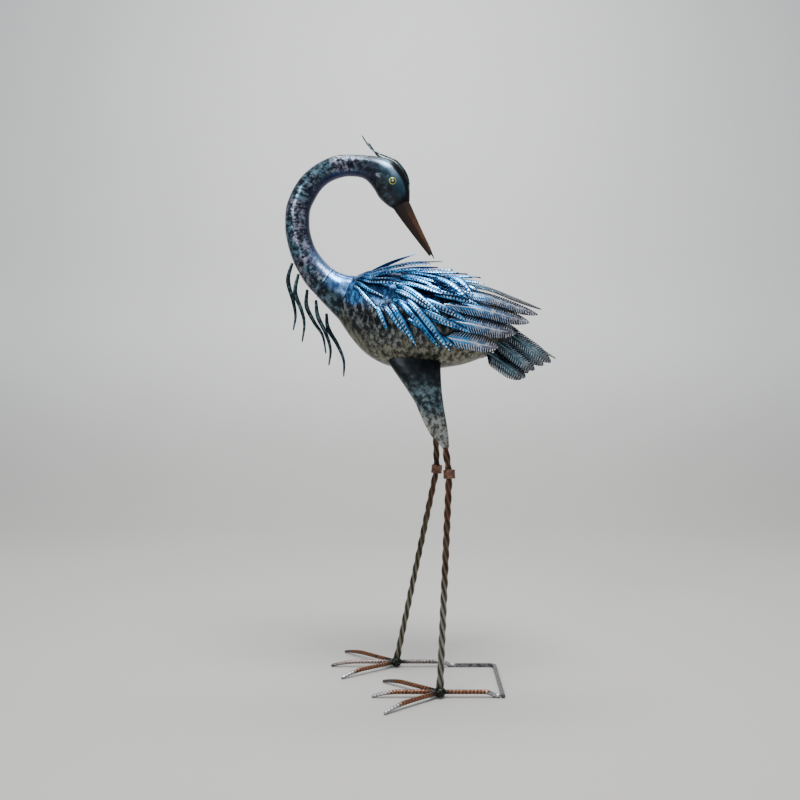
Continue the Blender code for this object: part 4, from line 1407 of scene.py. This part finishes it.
def make_blade(node, blade_at, length, look, outward, shaft_length, slit_inner):
    """Slit blade and its shaft. blade_at(s, part, raised) gives a point on the feather."""
    chance = random.Random(node)
    barbs = max(round(length / BARB_PITCH), 8)
    rows = barbs * len(BARB_PHASES)
    slant = BARB_SLANT / length

    def place(u, v):
        part = 2 * u - 1
        row = round(v * rows)
        barb, step = divmod(row, len(BARB_PHASES))
        base = (barb + BARB_PHASES[step]) / barbs
        s = min(base + slant * abs(part) * (1 - base), 1.0)
        ragged = (0.95, 1.0, 0.975)[step] if abs(part) > 0.9 else 1.0
        return blade_at(s, part * ragged, 0.0)

    bm = start_form()
    add_grid(bm, BLADE_COLUMNS, rows, place, rows_to_map=barbs, tint=chance.random() * 0.8)
    uv = bm.loops.layers.uv["UVMap"]
    slits = []
    for face in bm.faces:
        spots = [loop[uv].uv for loop in face.loops]
        across = abs(2 * sum(spot.x for spot in spots) / 4 - 1)
        barb = sum(spot.y for spot in spots) / 4
        if across > slit_inner and barb % 1.0 > 0.70 and SLIT_START < barb / barbs < SLIT_END:
            slits.append(face)
    bmesh.ops.delete(bm, geom=slits, context="FACES")

    def shaft_point(u, v):
        s = v * shaft_length
        turn = math.pi * u
        radius = SHAFT_RADIUS * (1 - SHAFT_TAPER * v)
        return blade_at(s, 0.0, radius * math.sin(turn) + SHAFT_LIFT, math.cos(turn) * radius)

    add_grid(bm, 8, max(rows, 20), shaft_point, tint=1.0)
    bmesh.ops.remove_doubles(bm, verts=bm.verts, dist=MERGE)
    face_outward(bm, outward)
    thicken(finish_piece(bm, node, look), BLADE_SHEET)


# The near-white shaft of the primaries is a painted highlight along the raised rib.
SHAFT_HIGHLIGHT = (0.78, 0.82, 0.88)
DULL_SHAFT = (0.13, 0.19, 0.21)
primary_look = flight_finish(
    "primary_paint", (0.05, 0.32, 0.74), (0.10, 0.20, 0.38), (0.17, 0.16, 0.21), SHAFT_HIGHLIGHT, 0.95
)
top_primary_look = flight_finish(
    "top_primary_paint", (0.04, 0.22, 0.40), (0.10, 0.12, 0.12), (0.10, 0.10, 0.085), DULL_SHAFT, 0.25
)
tail_look = flight_finish(
    "tail_paint", (0.020, 0.060, 0.080), (0.075, 0.200, 0.250), (0.130, 0.145, 0.150), DULL_SHAFT, 0.45
)
print("slit pitch", BARB_PITCH)

# %% [markdown]
# Five primaries on each wing overlap like roof tiles: each rolls under the one above along its upper
# edge. The tail has three hanging blades on each side and a level one in the middle.

# %% Primaries and tail
PRIMARY_COUNT = 5
PRIMARY_WIDTH = 0.0285
PRIMARY_RIDGE = 0.0009
PRIMARY_ROLL = 0.0060
PRIMARY_ROOT = (5.2, 35, 19.5)
PRIMARY_TIP = (9.25, 40, 21.5)
PRIMARY_TIP_STEP = 0.10
PRIMARY_TIP_CURVE = 0.095
TAIL_WIDTH = 0.026
TAIL_ROLL = 0.0030
TAIL_TANG = 0.10
TAIL_FEATHERS = (
    ((157, 15, 565), (214, 20, 526)),
    ((168, 23, 585), (228, 28, 538)),
    ((183, 22, 604), (255, 32, 551)),
)
MIDDLE_TAIL_FEATHER = ((190.6, 0, 606), (270, 0, 560))

for number in range(PRIMARY_COUNT):
    root = (PRIMARY_ROOT[0], PRIMARY_ROOT[1] + PRIMARY_ROOT[2] * number)
    back = PRIMARY_TIP_STEP * number + PRIMARY_TIP_CURVE * number**2
    tip = (PRIMARY_TIP[0] - back, PRIMARY_TIP[1] + PRIMARY_TIP[2] * number)
    for side, sign in SIDES.items():
        def primary_at(s, part, raised, shifted=0.0, root=root, tip=tip, sign=sign):
            station = root[0] + (tip[0] - root[0]) * s
            turn = math.radians(root[1] + (tip[1] - root[1]) * s)
            heading = (tip[0] - root[0], math.radians(tip[1] - root[1]))
            roll = PRIMARY_ROLL * (0.15 + 0.85 * min(s / 0.4, 1.0))
            rolled = roll * (1 + part * blade_profile(s)) / 2
            lift = ROOT_LIFT + rolled + PRIMARY_RIDGE * (1 - part**2) + raised
            sideways = part * PRIMARY_WIDTH / 2 * blade_profile(s) + shifted
            return wing_point(station, turn, sideways, heading, lift, sign)

        length = (primary_at(1.0, 0.0, 0.0) - primary_at(0.0, 0.0, 0.0)).length
        node = f"primary_{number + 1}_{side}"
        look = primary_look if number else top_primary_look
        slit_inner = SLIT_INNER if number else SHORT_SLIT_INNER
        outward = Vector((0.0, -sign, 0.3))
        make_blade(node, primary_at, length, look, outward, PRIMARY_SHAFT, slit_inner)


def make_tail_feather(node, root, tip, outward, roll):
    """One straight tail blade, whose root runs on a little way to meet the body."""
    end = Vector(tip) * MM
    start = (Vector(root) * MM).lerp(end, -TAIL_TANG)
    sideways = (end - start).cross(outward).normalized()
    if sideways.z > 0:
        sideways = -sideways

    def tail_at(s, part, raised, shifted=0.0):
        rolled = roll * part * min(s * 3, 1.0) * blade_profile(s)
        lift = rolled + PRIMARY_RIDGE * (1 - part**2) + raised
        across = part * TAIL_WIDTH / 2 * blade_profile(s) + shifted
        return start.lerp(end, s) + sideways * across + outward * lift

    make_blade(node, tail_at, (end - start).length, tail_look, outward, TAIL_SHAFT, SHORT_SLIT_INNER)


for number, (root, tip) in enumerate(TAIL_FEATHERS, start=1):
    for side, sign in SIDES.items():
        flip = Vector((1, -sign, 1))
        node = f"tail_feather_{number}_{side}"
        make_tail_feather(node, Vector(root) * flip, Vector(tip) * flip, Vector((0.0, -sign, 0.0)), TAIL_ROLL)
middle_root, middle_tip = MIDDLE_TAIL_FEATHER
make_tail_feather("tail_feather_middle", middle_root, middle_tip, Vector((0.57, 0.0, 0.82)), 0.0)
print("flight feathers", 2 * PRIMARY_COUNT + 2 * len(TAIL_FEATHERS) + 1)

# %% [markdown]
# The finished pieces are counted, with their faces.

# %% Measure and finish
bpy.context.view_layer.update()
faces = sum(len(piece.data.polygons) for piece in made_pieces)
print("pieces", len(made_pieces), "faces before thickness", faces)
